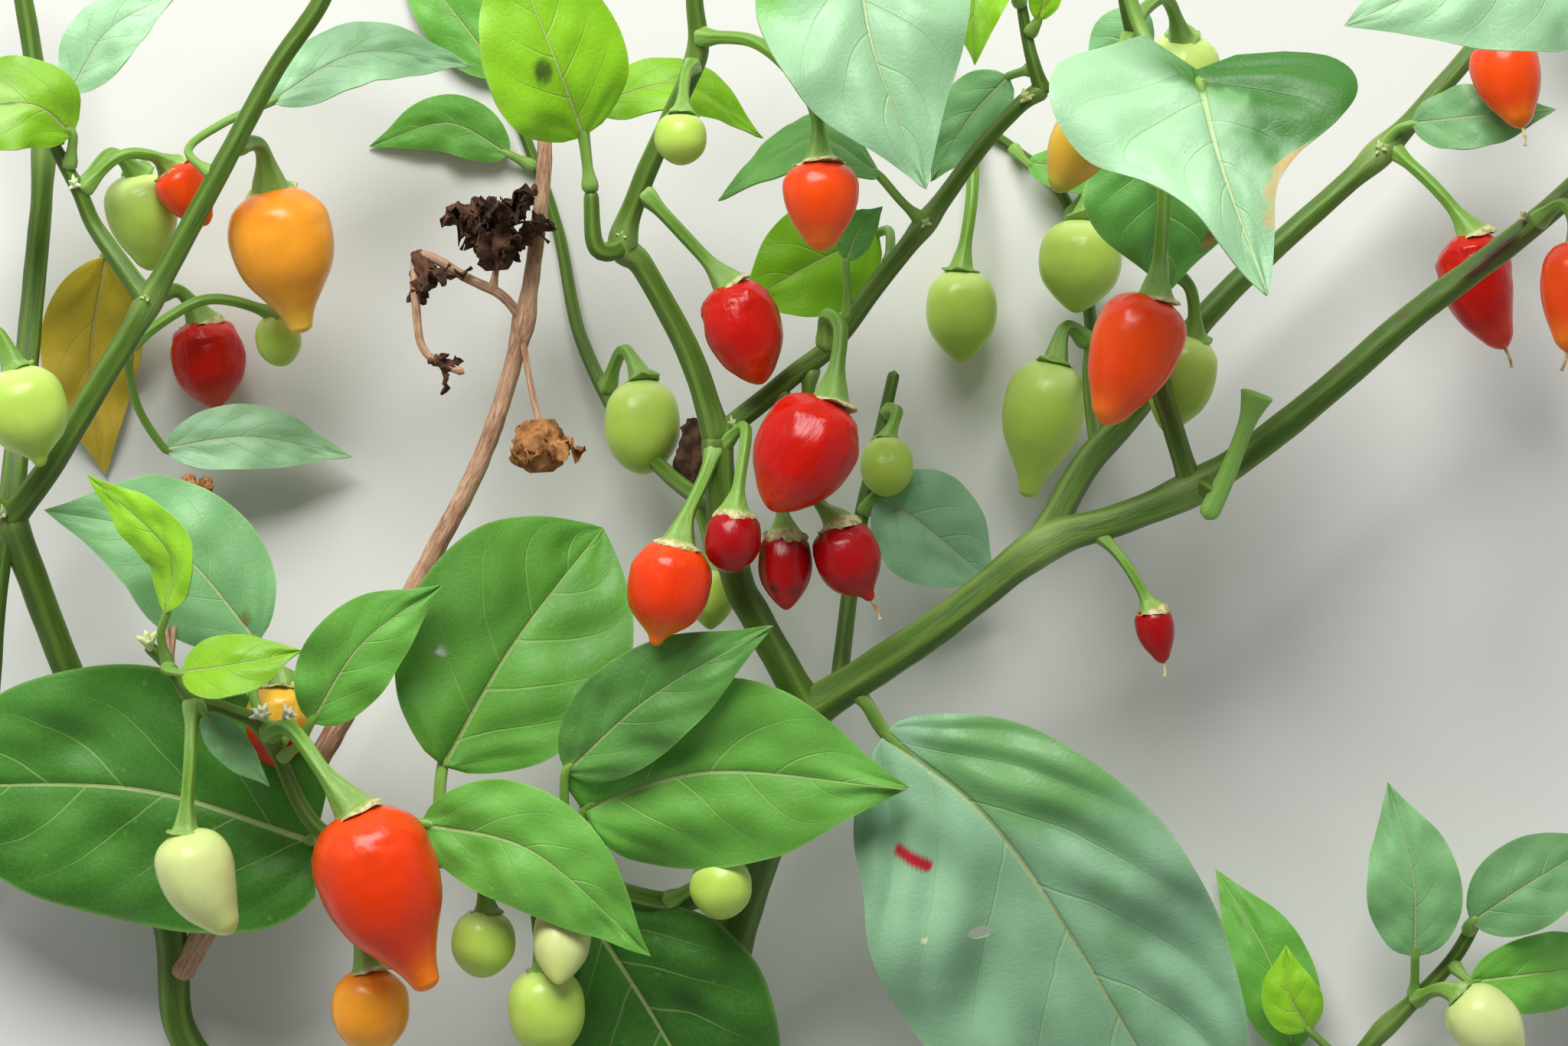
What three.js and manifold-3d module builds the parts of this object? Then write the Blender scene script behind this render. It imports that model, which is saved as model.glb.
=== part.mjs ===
// Cut branch system of a beak-podded chilli pepper, lying on its lowest leaves and pods.
// Millimetres: x runs to the right, y up the branch, z up from the surface that it lies on.
import * as THREE from "three";
import { mergeVertices } from "three/addons/utils/BufferGeometryUtils.js";
import Module from "manifold-3d";

const wasm = await Module();
wasm.setup();

// A table place is where its sight line, from straight above, meets the focus plane, with its true height
const EYE_TO_FOCUS = 600;
const FOCUS_HEIGHT = 40;
// The middle of the branch's outer box and its lowest level, as table places, which become the origin
const MIDDLE = new THREE.Vector3(-0.15, -5.85, 4.67);

// Driving sizes
const CLEARANCE = 0.3;
const BLADE_THICKNESS = 0.7;
const PETIOLE_RADIUS = 0.65;
const PEDICEL_RADIUS = 0.6;
const CALYX_SHARE = 0.5;
const CALYX_START = 0.06;
const CALYX_END = 0.35;
const CALYX_SUNK = 0.06;
const STEM_SIDES = 8;
const THIN_LIMB = 1.5;
const EXTRA_STEM_RINGS = 2;
const PETIOLE_SIDES = 4;
const PEDICEL_SIDES = 4;
const POD_SIDES = 8;
const SMALL_POD = 8.6;
const SIDES_SAVED = 2;
const BLADE_SIDES = 8;
const BLADE_RINGS = 8;
const MEDIUM_BLADE = 20;
const SMALL_BLADE = 11.5;
const MIDRIB_SHARE = 0.07;
const BLADE_ROUNDNESS = 0.85;
const TIP_START = 0.6;
const TIP_DRAWN_OUT = 0.35;
const WIDEST_SHARE = 0.38;
const BLADE_FOLD = 0.12;
const BLADE_CUP = 0.1;
const STEPS_PER_SPAN = 20;
const SWELL_REACH = 1.6;
const MERGE = 1e-4;

const MATERIALS = {
  stem: { color: 0x5c8236, roughness: 0.6, metalness: 0 },
  dead: { color: 0x96644b, roughness: 0.85, metalness: 0 },
  leaf: { color: 0x46823a, roughness: 0.5, metalness: 0 },
  pod_red: { color: 0xd2231a, roughness: 0.25, metalness: 0 },
  pod_orange: { color: 0xe8862a, roughness: 0.25, metalness: 0 },
  pod_green: { color: 0xa5bf50, roughness: 0.3, metalness: 0 },
};

// Limbs: stops from root to tip, radii at both ends, and the stops where a node swells
const LIMBS = [
  { name: "main_stem", radii: [3.4, 3.0], swell: { 1: 0.6, 5: 0.7 },
    stops: [[-13, -98, 9], [-14, -86, 10], [-10, -67, 13], [-6, -50, 19], [0, -33, 28], [3, -24, 33]] },
  { name: "right_leader", radii: [2.4, 1.5], swell: { 2: 0.5, 4: 0.4 },
    stops: [[3, -24, 33], [19, -13.5, 38], [33, -2.8, 40], [42, 0.2, 40], [52, 4.3, 40], [60, 9.4, 40],
      [70, 17.4, 41], [80, 26.2, 41], [95, 37.7, 41], [105, 46.8, 41]] },
  { name: "left_leader", radii: [2.2, 1.9], swell: { 4: 0.5 },
    stops: [[3, -24, 33], [-3.5, -12.3, 37], [-6, -7.3, 38], [-8, 2.7, 39], [-8.5, 11, 40]] },
  { name: "left_shoot", radii: [1.7, 1.0], swell: { 3: 0.5, 6: 0.3 },
    stops: [[-8.5, 11, 40], [-12, 21.7, 41], [-18, 32.7, 43], [-20.5, 35.7, 44], [-18, 43.7, 46],
      [-14.5, 51.7, 48], [-11.2, 59.7, 50], [-11.5, 66.7, 52], [-12, 75, 54]] },
  { name: "right_shoot", radii: [1.4, 1.0], swell: { 4: 0.4, 7: 0.3 },
    stops: [[-8.5, 11, 40], [1, 18.7, 41], [6, 22.7, 42], [12, 30.7, 43], [18, 38.2, 44], [25, 47.7, 45],
      [30, 53.2, 46], [33, 55.2, 46]] },
  { name: "back_bough", radii: [2.0, 1.1], swell: { 0: 0.4, 4: 0.6 },
    stops: [[33, -2.8, 40], [38, 6.7, 34], [44, 13.7, 30], [56, 28.7, 24], [76, 47.2, 20], [83, 54.7, 19],
      [90, 63, 17], [95, 70, 14]] },
  { name: "left_bough_lower", radii: [2.3, 1.9], swell: { 7: 0.5 },
    stops: [[-14, -86, 10], [-36, -85, 7.1], [-60, -79, 7.3], [-76, -66.7, 9], [-78.5, -51.3, 13],
      [-85, -34.3, 17], [-92, -17, 24], [-98.8, 0.7, 32]] },
  { name: "left_bough_upper", radii: [1.9, 1.1], swell: { 3: 0.6 },
    stops: [[-98.8, 0.7, 32], [-94, 6.7, 34], [-88, 16.7, 36], [-81, 28.2, 38], [-72, 44.7, 40],
      [-65, 57.7, 41], [-59, 66.7, 42], [-56, 75, 42]] },
  { name: "left_rear_bough", node: "left_bough_upper", radii: [1.7, 1.2], swell: { 3: 0.3 },
    stops: [[-98.8, 0.7, 32], [-97.6, 12, 26], [-96, 26.7, 22], [-94.4, 46.7, 20], [-96, 61, 20],
      [-98.5, 74, 20]] },
  { name: "left_side_twig", node: "left_bough_lower", radii: [1.0, 0.6],
    stops: [[-98.8, 0.7, 32], [-100, -10, 29], [-101, -24, 20], [-103, -38, 12], [-104, -47, 7]] },
  { name: "lower_left_twig", radii: [1.4, 1.0], swell: { 5: 0.5, 7: 0.4 },
    stops: [[-4.5, -46, 21], [-15, -48.3, 27], [-28, -44.8, 30], [-44, -42.8, 31], [-59, -39.3, 32],
      [-66, -26.8, 36], [-71, -23.8, 39], [-75.5, -22.3, 42], [-78.5, -18.3, 43], [-81, -15.8, 44]] },
  { name: "lower_right_shoot", radii: [1.9, 0.9], swell: { 4: 0.4 },
    stops: [[-13, -78, 11], [15, -85, 7], [42, -83, 6.3], [66, -74, 9], [77, -64, 13], [85, -56, 16],
      [89, -49, 18]] },
  { name: "dead_twig", material: "dead", radii: [1.7, 0.9], swell: { 6: 0.5 },
    stops: [[-77, -57, 12], [-70, -46.3, 15], [-62, -34.3, 19], [-56, -24.3, 21], [-45, -4.3, 23],
      [-38, 9.7, 24], [-33.2, 25.7, 25], [-31, 40.7, 24], [-30.5, 49.7, 23], [-31, 58, 21]] },
  { name: "dead_side_twig", node: "dead_twig", material: "dead", radii: [0.7, 0.5],
    stops: [[-33.2, 25.7, 25], [-36, 29, 27], [-40, 31, 28], [-46.5, 34, 29], [-46.8, 26, 30],
      [-45.5, 21.5, 30], [-41, 19.2, 30]] },
  { name: "mid_right_twig", radii: [1.4, 0.9], swell: { 5: 0.4 },
    stops: [[52, 4.3, 40], [49.5, 12.7, 41], [48, 17.7, 41], [47.8, 26.7, 40], [48.2, 36.7, 40],
      [47.8, 46, 42], [46.5, 54.7, 50], [44, 64.7, 58], [43, 71, 61]] },
  { name: "petiole_stub", node: "right_leader", radii: [1.2, 1.6],
    stops: [[53.4, 4.6, 41], [54.8, 1.6, 43.6], [56.6, 6, 45], [58.5, 11.5, 46], [60.5, 16.4, 47]] },
  { name: "fork_twig", radii: [1.2, 0.8],
    stops: [[7, -21.3, 34], [8, -12, 25], [9.5, -1, 19], [12, 10, 16], [14, 19, 14]] },
  { name: "back_twig", radii: [1.1, 0.6],
    stops: [[40, 9, 32.5], [39, 18, 18], [39, 26.7, 9], [36, 41, 5.6], [29, 48, 5.5], [22, 52, 6.5]] },
  { name: "back_left_shoot", radii: [1.2, 0.7],
    stops: [[-8, 3.5, 39], [-12, 4, 30], [-20, 12, 14], [-26, 24, 7.5], [-29, 38, 5.6], [-34, 52, 5.5]] },
  { name: "left_upper_twig", radii: [1.4, 0.8],
    stops: [[-81, 28.2, 38], [-84.5, 33, 37], [-88, 38, 36], [-90, 42.5, 37], [-93, 48, 38]] },
  { name: "left_back_twig", radii: [1.1, 0.7],
    stops: [[-88, 16.7, 36], [-86.5, 19, 29], [-83, 24, 20], [-80, 30, 13]] },
  { name: "left_shoot_side", radii: [1.3, 0.9],
    stops: [[-20.5, 35.7, 44], [-22.5, 34.6, 46], [-24.2, 36, 47], [-24.6, 42, 48]] },
  { name: "right_shoot_tip", radii: [1.0, 0.6],
    stops: [[33, 55.2, 46], [32, 58, 47], [31, 62, 47], [30, 68, 48]] },
  { name: "right_leader_tip", radii: [1.3, 0.7],
    stops: [[105, 46.8, 41], [109, 51, 41.5], [112, 56, 42]] },
];

// Leaves: the limb they grow from, stops of the petiole, blade base, middle and tip, width, face direction
const LEAVES = [
  { name: "leaf_lower_left_large", on: "lower_left_twig", stalk: [[-58.5, -39.6, 31]], width: 31,
    base: [-60.5, -40.5, 28], middle: [-86, -31.8, 26], tip: [-118, -33, 22], face: [0.05, -0.1, 1] },
  { name: "leaf_left_rear", on: "lower_left_twig", stalk: [[-66.5, -26.5, 36], [-67.8, -21, 36]],
    width: 18, base: [-67, -15.2, 35], middle: [-79, -2.2, 37], tip: [-94.4, 1.7, 38.5],
    face: [0.1, 0.2, 1] },
  { name: "leaf_left_small", on: "lower_left_twig", stalk: [[-64.3, -29.8, 34.5], [-62, -28.4, 38]],
    width: 11.8, base: [-60.4, -25.6, 40.5], middle: [-53.8, -15.4, 42], tip: [-43.5, -7.8, 41],
    face: [0.1, -0.1, 1] },
  { name: "leaf_left_front_upper", node: "lower_left_twig", on: "lower_left_twig", width: 8,
    stalk: [[-78.5, -18.3, 43], [-79.5, -14.5, 46]], base: [-79, -11.5, 48], middle: [-78.8, -3.5, 50],
    tip: [-89, 6.2, 49], face: [-0.8, 0.2, 1] },
  { name: "leaf_left_front_lower", node: "lower_left_twig", on: "lower_left_twig", width: 9,
    stalk: [[-78.5, -18.3, 43], [-78.5, -18.8, 46]], base: [-77, -19, 47.5], middle: [-70, -18, 50],
    tip: [-61.5, -16.3, 49], face: [0.1, 0.5, 1] },
  { name: "leaf_centre_left", on: "lower_left_twig", stalk: [[-44, -42.8, 31], [-44, -36, 33]],
    width: 22, base: [-43.5, -31, 33], middle: [-34.5, -15.5, 34], tip: [-18.6, 2, 31],
    face: [0.1, -0.1, 1] },
  { name: "leaf_centre_upper", on: "lower_left_twig", stalk: [[-28, -44.8, 30], [-28, -38, 35]],
    width: 13.5, base: [-28, -32, 38], middle: [-17, -22.2, 43], tip: [-1.4, -13.1, 45.5],
    face: [0.1, 0.1, 1] },
  { name: "leaf_centre", on: "lower_left_twig", stalk: [[-24, -45.5, 29], [-25.5, -41, 32.5]],
    width: 24.5, base: [-25.5, -36.5, 35.5], middle: [-9, -31.8, 39.5], tip: [16, -34.1, 40.5],
    face: [0.1, -0.15, 1] },
  { name: "leaf_centre_low", on: "lower_left_twig", stalk: [[-52, -41, 31.5], [-50, -38.8, 34.5]],
    width: 15.5, base: [-46.5, -38.3, 37.5], middle: [-32, -42, 41], tip: [-17, -55.3, 40],
    face: [-0.05, -0.1, 1] },
  { name: "leaf_lower_dark", on: "lower_left_twig", stalk: [[-28, -44.8, 30], [-26.8, -47.5, 30]],
    width: 31, base: [-25, -50, 29], middle: [-15.5, -65, 24], tip: [-4, -86, 19], face: [0, -0.2, 1] },
  { name: "leaf_lower_right_large", on: "right_leader", stalk: [[8.5, -20.5, 35], [10.5, -23, 35]],
    width: 45, base: [12.8, -26.8, 34], middle: [28.5, -45.5, 34], tip: [54.5, -92, 20],
    face: [-0.1, -0.1, 1] },
  { name: "leaf_fork_rear", on: "fork_twig", stalk: [[9.8, 1, 18.5]], width: 15,
    base: [11.6, 3.5, 20.2], middle: [17.5, 0, 19.5], tip: [27, -8, 14], face: [0.1, 0, 1] },
  { name: "leaf_top_dark", on: "right_shoot", stalk: [[18, 38.2, 44], [15, 41, 46]], width: 10.5,
    base: [12.3, 44.6, 46.5], middle: [3.5, 49, 50], tip: [-8.6, 41.3, 46], face: [0.1, 0.9, 0.75] },
  { name: "leaf_top_front", on: "left_shoot", stalk: [[-11.9, 72, 53.3], [-3, 80, 62]], width: 27,
    base: [9, 81.5, 68], middle: [11, 62, 76], tip: [18.3, 42.7, 78], face: [0.1, 0.2, 1] },
  { name: "leaf_right_front", on: "mid_right_twig", stalk: [[43, 71, 61], [48, 69, 65]], width: 41,
    base: [54, 60.5, 71], middle: [56.8, 46.5, 80], tip: [61.8, 29.2, 84], face: [0, 0.5, 1],
    widest: 0.26 },
  { name: "leaf_right_top", on: "right_leader_tip", stalk: [[112, 56, 42], [111, 65, 56]], width: 23,
    base: [107, 71, 68], middle: [90, 71, 76], tip: [71.5, 63.5, 77], face: [0, 0.2, 1] },
  { name: "leaf_right_dark", on: "mid_right_twig", stalk: [[46.5, 54.7, 49.5], [47, 52, 46.5]],
    width: 21, base: [47.6, 49, 45.4], middle: [48.6, 40, 44.6], tip: [49.2, 29.4, 43.4],
    face: [0.1, 0.1, 1], widest: 0.34 },
  { name: "leaf_right_back", on: "back_bough", stalk: [[76, 47.2, 20], [78, 50, 22]], width: 9,
    base: [80, 51, 23], middle: [89, 52, 27], tip: [98.5, 52.8, 25], face: [0, 0.3, 1] },
  { name: "leaf_left_top", on: "left_bough_upper", stalk: [[-65, 57.7, 41], [-64.5, 54, 36]], width: 9,
    base: [-62, 52, 35], middle: [-52, 59.8, 32], tip: [-39.5, 58.4, 28], face: [0, 0.3, 1] },
  { name: "leaf_behind_upper", on: "right_shoot", stalk: [[13.5, 32.5, 43], [13.5, 37, 37]], width: 15,
    base: [12, 37, 31], middle: [3.5, 33, 27], tip: [-6, 27.5, 26], face: [0.1, 0, 1] },
  { name: "leaf_crown_lit", node: "left_shoot_side", on: "left_shoot_side", stalk: [[-24.6, 42, 48]],
    width: 19, base: [-25.4, 49, 50], middle: [-29.5, 60, 56], tip: [-36, 76, 57],
    face: [0.3, 0.1, 1] },
  { name: "leaf_crown_arched", node: "left_shoot_side", on: "left_shoot_side", stalk: [[-24.6, 42, 48]],
    width: 8, base: [-25.5, 53, 41], middle: [-13, 56, 41], tip: [-2.5, 49.2, 37], face: [0, 0.5, 1] },
  { name: "leaf_yellow", node: "left_back_twig", on: "left_back_twig",
    stalk: [[-81, 28, 15], [-83.5, 32.5, 14]], width: 12, base: [-86.5, 34, 13], middle: [-88.5, 20, 9],
    tip: [-89, 5.5, 6], face: [0.2, 0, 1] },
  { name: "leaf_left_low", node: "left_back_twig", on: "left_back_twig",
    stalk: [[-84, 22, 22], [-82.5, 15, 18]], width: 9, base: [-79, 9.5, 15], middle: [-68, 11, 14],
    tip: [-55, 8.5, 10], face: [0, 0.2, 1] },
  { name: "leaf_left_upper_a", node: "left_upper_twig", on: "left_upper_twig", stalk: [[-91, 45, 37.5]],
    width: 13, base: [-90.5, 49.5, 40], middle: [-97, 53.5, 43], tip: [-112, 51, 38],
    face: [0, 0.3, 1] },
  { name: "leaf_left_upper_b", node: "left_upper_twig", on: "left_upper_twig", stalk: [[-93, 48, 38]],
    width: 9, base: [-91, 55, 38], middle: [-86, 63, 38], tip: [-77, 68, 36], face: [0, 0.2, 1] },
  { name: "leaf_back_small_a", node: "back_left_shoot", on: "back_left_shoot", stalk: [[-31, 45, 5]],
    width: 8, base: [-35, 47, 7], middle: [-43, 51, 7], tip: [-53, 48, 5.4], face: [0, 0, 1] },
  { name: "leaf_back_small_b", node: "back_left_shoot", on: "back_left_shoot", stalk: [[-34, 52, 5]],
    width: 10, base: [-36, 57, 7], middle: [-42, 65, 7], tip: [-50, 75, 5.4], face: [0, 0, 1] },
  { name: "leaf_back_small_c", node: "back_twig", on: "back_twig", stalk: [[29, 48, 6]], width: 6,
    base: [31, 46, 9], middle: [37, 44.8, 11], tip: [43, 41.5, 10], face: [0, 0.3, 1] },
  { name: "leaf_back_small_d", node: "back_twig", on: "back_twig", stalk: [[22, 52, 7]], width: 10,
    base: [19, 56, 9], middle: [13, 63, 8], tip: [5, 69, 5.4], face: [0, 0, 1] },
  { name: "leaf_tip_lit", node: "right_shoot_tip", on: "right_shoot_tip", stalk: [[30.5, 66, 48]],
    width: 8, base: [27.5, 72, 55], middle: [24.5, 67, 60], tip: [24.4, 58.4, 61],
    face: [0.2, 0.2, 1] },
  { name: "leaf_tip_pale", node: "right_shoot_tip", on: "right_shoot_tip", stalk: [[32, 58, 46.5]],
    width: 9, base: [28.6, 57, 41], middle: [23.5, 51.5, 38.5], tip: [18.6, 43.5, 37],
    face: [-0.1, 0.1, 1] },
  { name: "leaf_tip_young_a", node: "right_shoot_tip", on: "right_shoot_tip", stalk: [[31, 62, 47]],
    width: 4.5, base: [32.5, 64, 49], middle: [33.5, 69, 51], tip: [32, 75, 51], face: [0.2, 0, 1] },
  { name: "leaf_tip_young_b", node: "right_shoot_tip", on: "right_shoot_tip", stalk: [[30, 68, 48]],
    width: 4, base: [28.8, 70.5, 49], middle: [26.5, 76, 50], tip: [25.5, 81, 48], face: [-0.1, 0, 1] },
  { name: "leaf_mid_pale", node: "mid_right_twig", on: "mid_right_twig", stalk: [[46, 57.5, 52.5]],
    width: 9, base: [47.2, 61, 49.5], middle: [43.8, 61.5, 49.5], tip: [38.8, 57, 47],
    face: [0, 0.2, 1] },
  { name: "leaf_shoot_a", node: "lower_right_shoot", on: "lower_right_shoot",
    stalk: [[80, -60.5, 14.5]], width: 12.5, base: [80.5, -55.5, 19], middle: [80.2, -45, 23],
    tip: [77, -33, 21], face: [-0.1, -0.2, 1] },
  { name: "leaf_shoot_b", node: "lower_right_shoot", on: "lower_right_shoot", stalk: [[87, -52, 17]],
    width: 12, base: [87.5, -51, 20], middle: [95, -46, 22], tip: [105, -40, 16], face: [0.1, 0.2, 1] },
  { name: "leaf_shoot_c", node: "lower_right_shoot", on: "lower_right_shoot", stalk: [[85, -56, 16]],
    width: 11, base: [87.5, -58.5, 19], middle: [96, -57.5, 18], tip: [108, -56, 6],
    face: [0.1, -0.1, 1] },
  { name: "leaf_shoot_d", node: "lower_right_shoot", on: "lower_right_shoot", stalk: [[66, -74, 9]],
    width: 11, base: [65, -67.5, 10], middle: [62, -56, 12], tip: [55, -44, 7], face: [0.1, 0, 1] },
  { name: "leaf_shoot_e", node: "lower_right_shoot", on: "lower_right_shoot", stalk: [[72, -69, 11]],
    width: 8, base: [67, -64.8, 15], middle: [64.5, -60, 17], tip: [64, -53.8, 17],
    face: [-0.1, 0, 1] },
  { name: "leaf_left_end_a", node: "left_bough_upper", on: "left_bough_upper", stalk: [[-56.5, 74, 42]],
    width: 8, base: [-53.5, 76, 43], middle: [-47, 77, 45], tip: [-37, 72.5, 43], face: [0.1, 0.3, 1] },
  { name: "leaf_left_end_b", node: "left_bough_upper", on: "left_bough_upper",
    stalk: [[-57.5, 70.5, 42]], width: 9, base: [-60, 74, 41], middle: [-66, 78, 40],
    tip: [-76, 79, 37], face: [-0.1, 0.2, 1] },
  { name: "leaf_shoot_end_a", node: "left_shoot", on: "left_shoot", stalk: [[-12, 73, 53.6]], width: 8,
    base: [-9.5, 76, 52], middle: [-5, 82, 50], tip: [3, 86, 46], face: [0.1, 0, 1] },
  { name: "leaf_shoot_end_b", node: "left_shoot", on: "left_shoot", stalk: [[-12, 74.5, 54]], width: 9,
    base: [-14.5, 77.5, 55], middle: [-18, 83, 56], tip: [-24, 90, 54], face: [-0.1, 0, 1] },
  { name: "leaf_back_end_a", node: "back_bough", on: "back_bough", stalk: [[94.5, 69, 14.5]], width: 9,
    base: [97, 69, 15], middle: [104, 66.5, 15], tip: [113, 61, 8], face: [0.1, 0.1, 1] },
  { name: "leaf_back_end_b", node: "back_bough", on: "back_bough", stalk: [[94, 68.5, 14.6]], width: 9,
    base: [93.5, 72, 14], middle: [91, 79, 13], tip: [86, 87, 7], face: [0, 0.1, 1] },
  { name: "leaf_beside_front_pod", node: "right_shoot", on: "right_shoot", stalk: [[7.6, 25.6, 42.3]],
    width: 4.5, base: [7.9, 33.4, 45], middle: [9.6, 37.4, 46], tip: [12.6, 40.4, 43.5],
    face: [0.2, 0.2, 1] },
  { name: "leaf_end_a", node: "right_leader_tip", on: "right_leader_tip", stalk: [[109, 51, 41.5]],
    width: 11, base: [112, 48.5, 43], middle: [117, 42, 44], tip: [119, 33, 42], face: [0.2, 0, 1] },
  { name: "leaf_end_b", node: "right_leader_tip", on: "right_leader_tip", stalk: [[111, 54, 42]],
    width: 9, base: [114, 56.5, 43], middle: [117, 63, 45], tip: [117, 72, 44], face: [0.2, 0, 1] },
];

// Pods: the limb they hang from, stops of the pedicel, neck and tip of the pod, greatest width
const PODS = [
  { name: "pod_red_large", on: "lower_left_twig", width: 15.5, bow: 0.6, color: "pod_red",
    stalk: [[-66, -26.8, 36], [-62.8, -26.4, 42.5], [-58.5, -32, 46.5]], neck: [-54.8, -36.6, 47],
    tip: [-45.2, -59.5, 46] },
  { name: "pod_pale_left", on: "lower_left_twig", width: 9.9, bow: 1, color: "pod_green",
    stalk: [[-75.5, -22.3, 42], [-75.8, -30, 45]], neck: [-76.4, -39.2, 45], tip: [-70.4, -52.4, 44] },
  { name: "pod_orange_low", on: "lower_left_twig", width: 10, color: "pod_orange",
    stalk: [[-58, -39.6, 32], [-56, -47, 34]], neck: [-53, -56.8, 36], tip: [-52.5, -68.5, 36] },
  { name: "pod_green_low_a", on: "lower_left_twig", width: 8.3, color: "pod_green",
    stalk: [[-40, -43.3, 31], [-38.5, -46, 31.5]], neck: [-38, -49.3, 31.5], tip: [-38.8, -58, 31.5] },
  { name: "pod_green_low_b", on: "lower_left_twig", width: 10, color: "pod_green",
    stalk: [[-31.5, -44.4, 30], [-31.5, -50, 32]], neck: [-30.6, -56.6, 32], tip: [-30, -69, 31] },
  { name: "pod_pale_low", node: "lower_left_twig", on: "lower_left_twig", width: 7.5,
    color: "pod_green", stalk: [[-30, -44.6, 30.5]], neck: [-28, -48.2, 33],
    tip: [-28.8, -58.8, 38.6] },
  { name: "pod_green_centre", on: "lower_left_twig", width: 8, color: "pod_green",
    stalk: [[-15, -48.3, 27], [-11, -46, 32.5]], neck: [-7.8, -42.4, 34], tip: [-8.2, -50.6, 34] },
  { name: "pod_red_left_cluster", on: "left_leader", width: 10.5, color: "pod_red",
    stalk: [[-8.4, 10, 40], [-10.2, 5.7, 43], [-12.4, 0.9, 46]], neck: [-13.4, -2.4, 47],
    tip: [-16.5, -15.7, 47] },
  { name: "pod_dark_small", on: "left_leader", width: 7.2, color: "pod_red",
    stalk: [[-8.3, 9.5, 40], [-5, 12.2, 43], [-5.6, 6, 46]], neck: [-6.3, 1.8, 47],
    tip: [-7, -6.4, 47] },
  { name: "pod_dark_middle", on: "right_shoot", width: 6.8, color: "pod_red",
    stalk: [[-0.5, 17.6, 41], [-0.8, 8, 38.5]], neck: [0, -0.8, 42.5], tip: [0.3, -11.1, 43] },
  { name: "pod_dark_right", on: "right_shoot", width: 8.4, bow: 0.6, color: "pod_red",
    stalk: [[3.4, 20.5, 41.5], [2.6, 10, 38], [4, 3.4, 41]], neck: [6.7, 0.1, 43.5],
    tip: [11.2, -9.9, 44] },
  { name: "pod_red_centre", on: "right_shoot", width: 12.6, bow: 0.5, color: "pod_red",
    stalk: [[5.4, 22.3, 42], [5.4, 26.3, 45], [7.2, 24.4, 48]], neck: [5.9, 15.6, 50],
    tip: [-1.7, 1.6, 51] },
  { name: "pod_red_upper", on: "left_shoot", width: 9.8, color: "pod_red",
    stalk: [[-17.8, 42.5, 45.7], [-13.5, 37.5, 46]], neck: [-7.2, 30.6, 46], tip: [-2.8, 17.7, 46.5] },
  { name: "pod_orange_front", on: "left_shoot", width: 9.2, color: "pod_orange",
    stalk: [[-11.3, 62, 51], [-3, 61, 60], [3.5, 54, 69]], neck: [4.6, 46.2, 71],
    tip: [4.8, 34.6, 71] },
  { name: "pod_red_right", on: "mid_right_twig", width: 11.5, color: "pod_red",
    stalk: [[46.6, 54, 49.5], [48.3, 42, 50.5]], neck: [47.3, 28.9, 51], tip: [40.8, 12.5, 51] },
  { name: "pod_small_right", on: "right_leader", width: 5, color: "pod_red",
    stalk: [[39.5, -0.6, 40], [43.6, -5.2, 42]], neck: [46.7, -10.6, 42], tip: [48.4, -17.9, 42] },
  { name: "pod_red_far_right", on: "back_bough", width: 9.6, bow: 1.2, color: "pod_red",
    stalk: [[77, 48, 20], [83.2, 42.6, 23]], neck: [87.6, 37, 24], tip: [92, 22.2, 24] },
  { name: "pod_red_edge", on: "right_leader", width: 9, color: "pod_red",
    stalk: [[95.5, 38.5, 41], [99.5, 40.6, 45]], neck: [101.7, 35.8, 48], tip: [99.8, 21.8, 49] },
  { name: "pod_orange_top_right", on: "back_bough", width: 9, color: "pod_orange",
    stalk: [[91.5, 65, 16.5], [91.4, 66.5, 24]], neck: [91, 61.8, 30], tip: [94.2, 50.4, 33] },
  { name: "pod_green_round", on: "back_twig", width: 11, color: "pod_green",
    stalk: [[37, 39, 6.5], [38.8, 42, 12]], neck: [38.2, 38.6, 16], tip: [37.2, 26.8, 17] },
  { name: "pod_green_right", on: "back_twig", width: 11, color: "pod_green",
    stalk: [[39, 23, 12.5], [36, 25, 14]], neck: [34.6, 20.6, 15], tip: [31, 3.2, 14] },
  { name: "pod_green_back", node: "back_twig", on: "back_twig", width: 9.5, color: "pod_green",
    stalk: [[24, 50.8, 7], [24, 42, 11]], neck: [22.6, 32.4, 12], tip: [22.6, 20.4, 11] },
  { name: "pod_green_left", on: "left_bough_lower", width: 10.5, color: "pod_green",
    stalk: [[-98.8, 0.7, 32], [-105, 8, 39], [-106, 20, 45], [-101, 24.5, 47]],
    neck: [-98.2, 19.8, 46.5], tip: [-94.7, 7.2, 46.5] },
  { name: "pod_orange_left", on: "left_bough_upper", width: 13.5, color: "pod_orange",
    stalk: [[-70, 48.5, 40], [-66.8, 48, 35]], neck: [-65.5, 42.6, 31], tip: [-61.5, 24.2, 29] },
  { name: "pod_dark_back", node: "fork_twig", on: "fork_twig", width: 7, color: "pod_green",
    stalk: [[13, 14, 15], [14.4, 14, 18]], neck: [13.2, 10.6, 20.5], tip: [13, 3.6, 24] },
  { name: "pod_green_behind_red", node: "mid_right_twig", on: "mid_right_twig", width: 8.5,
    color: "pod_green", stalk: [[48, 33, 42], [51.8, 30, 39]], neck: [52.4, 23.8, 36],
    tip: [48.6, 11.6, 35] },
  { name: "pod_green_top_right", node: "mid_right_twig", on: "mid_right_twig", width: 10,
    color: "pod_green", stalk: [[44.2, 64, 57.5], [48.5, 67, 50]], neck: [50.6, 62, 43],
    tip: [50.8, 50.4, 36] },
  { name: "pod_yellow_right", node: "mid_right_twig", on: "mid_right_twig", width: 7.8,
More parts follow.
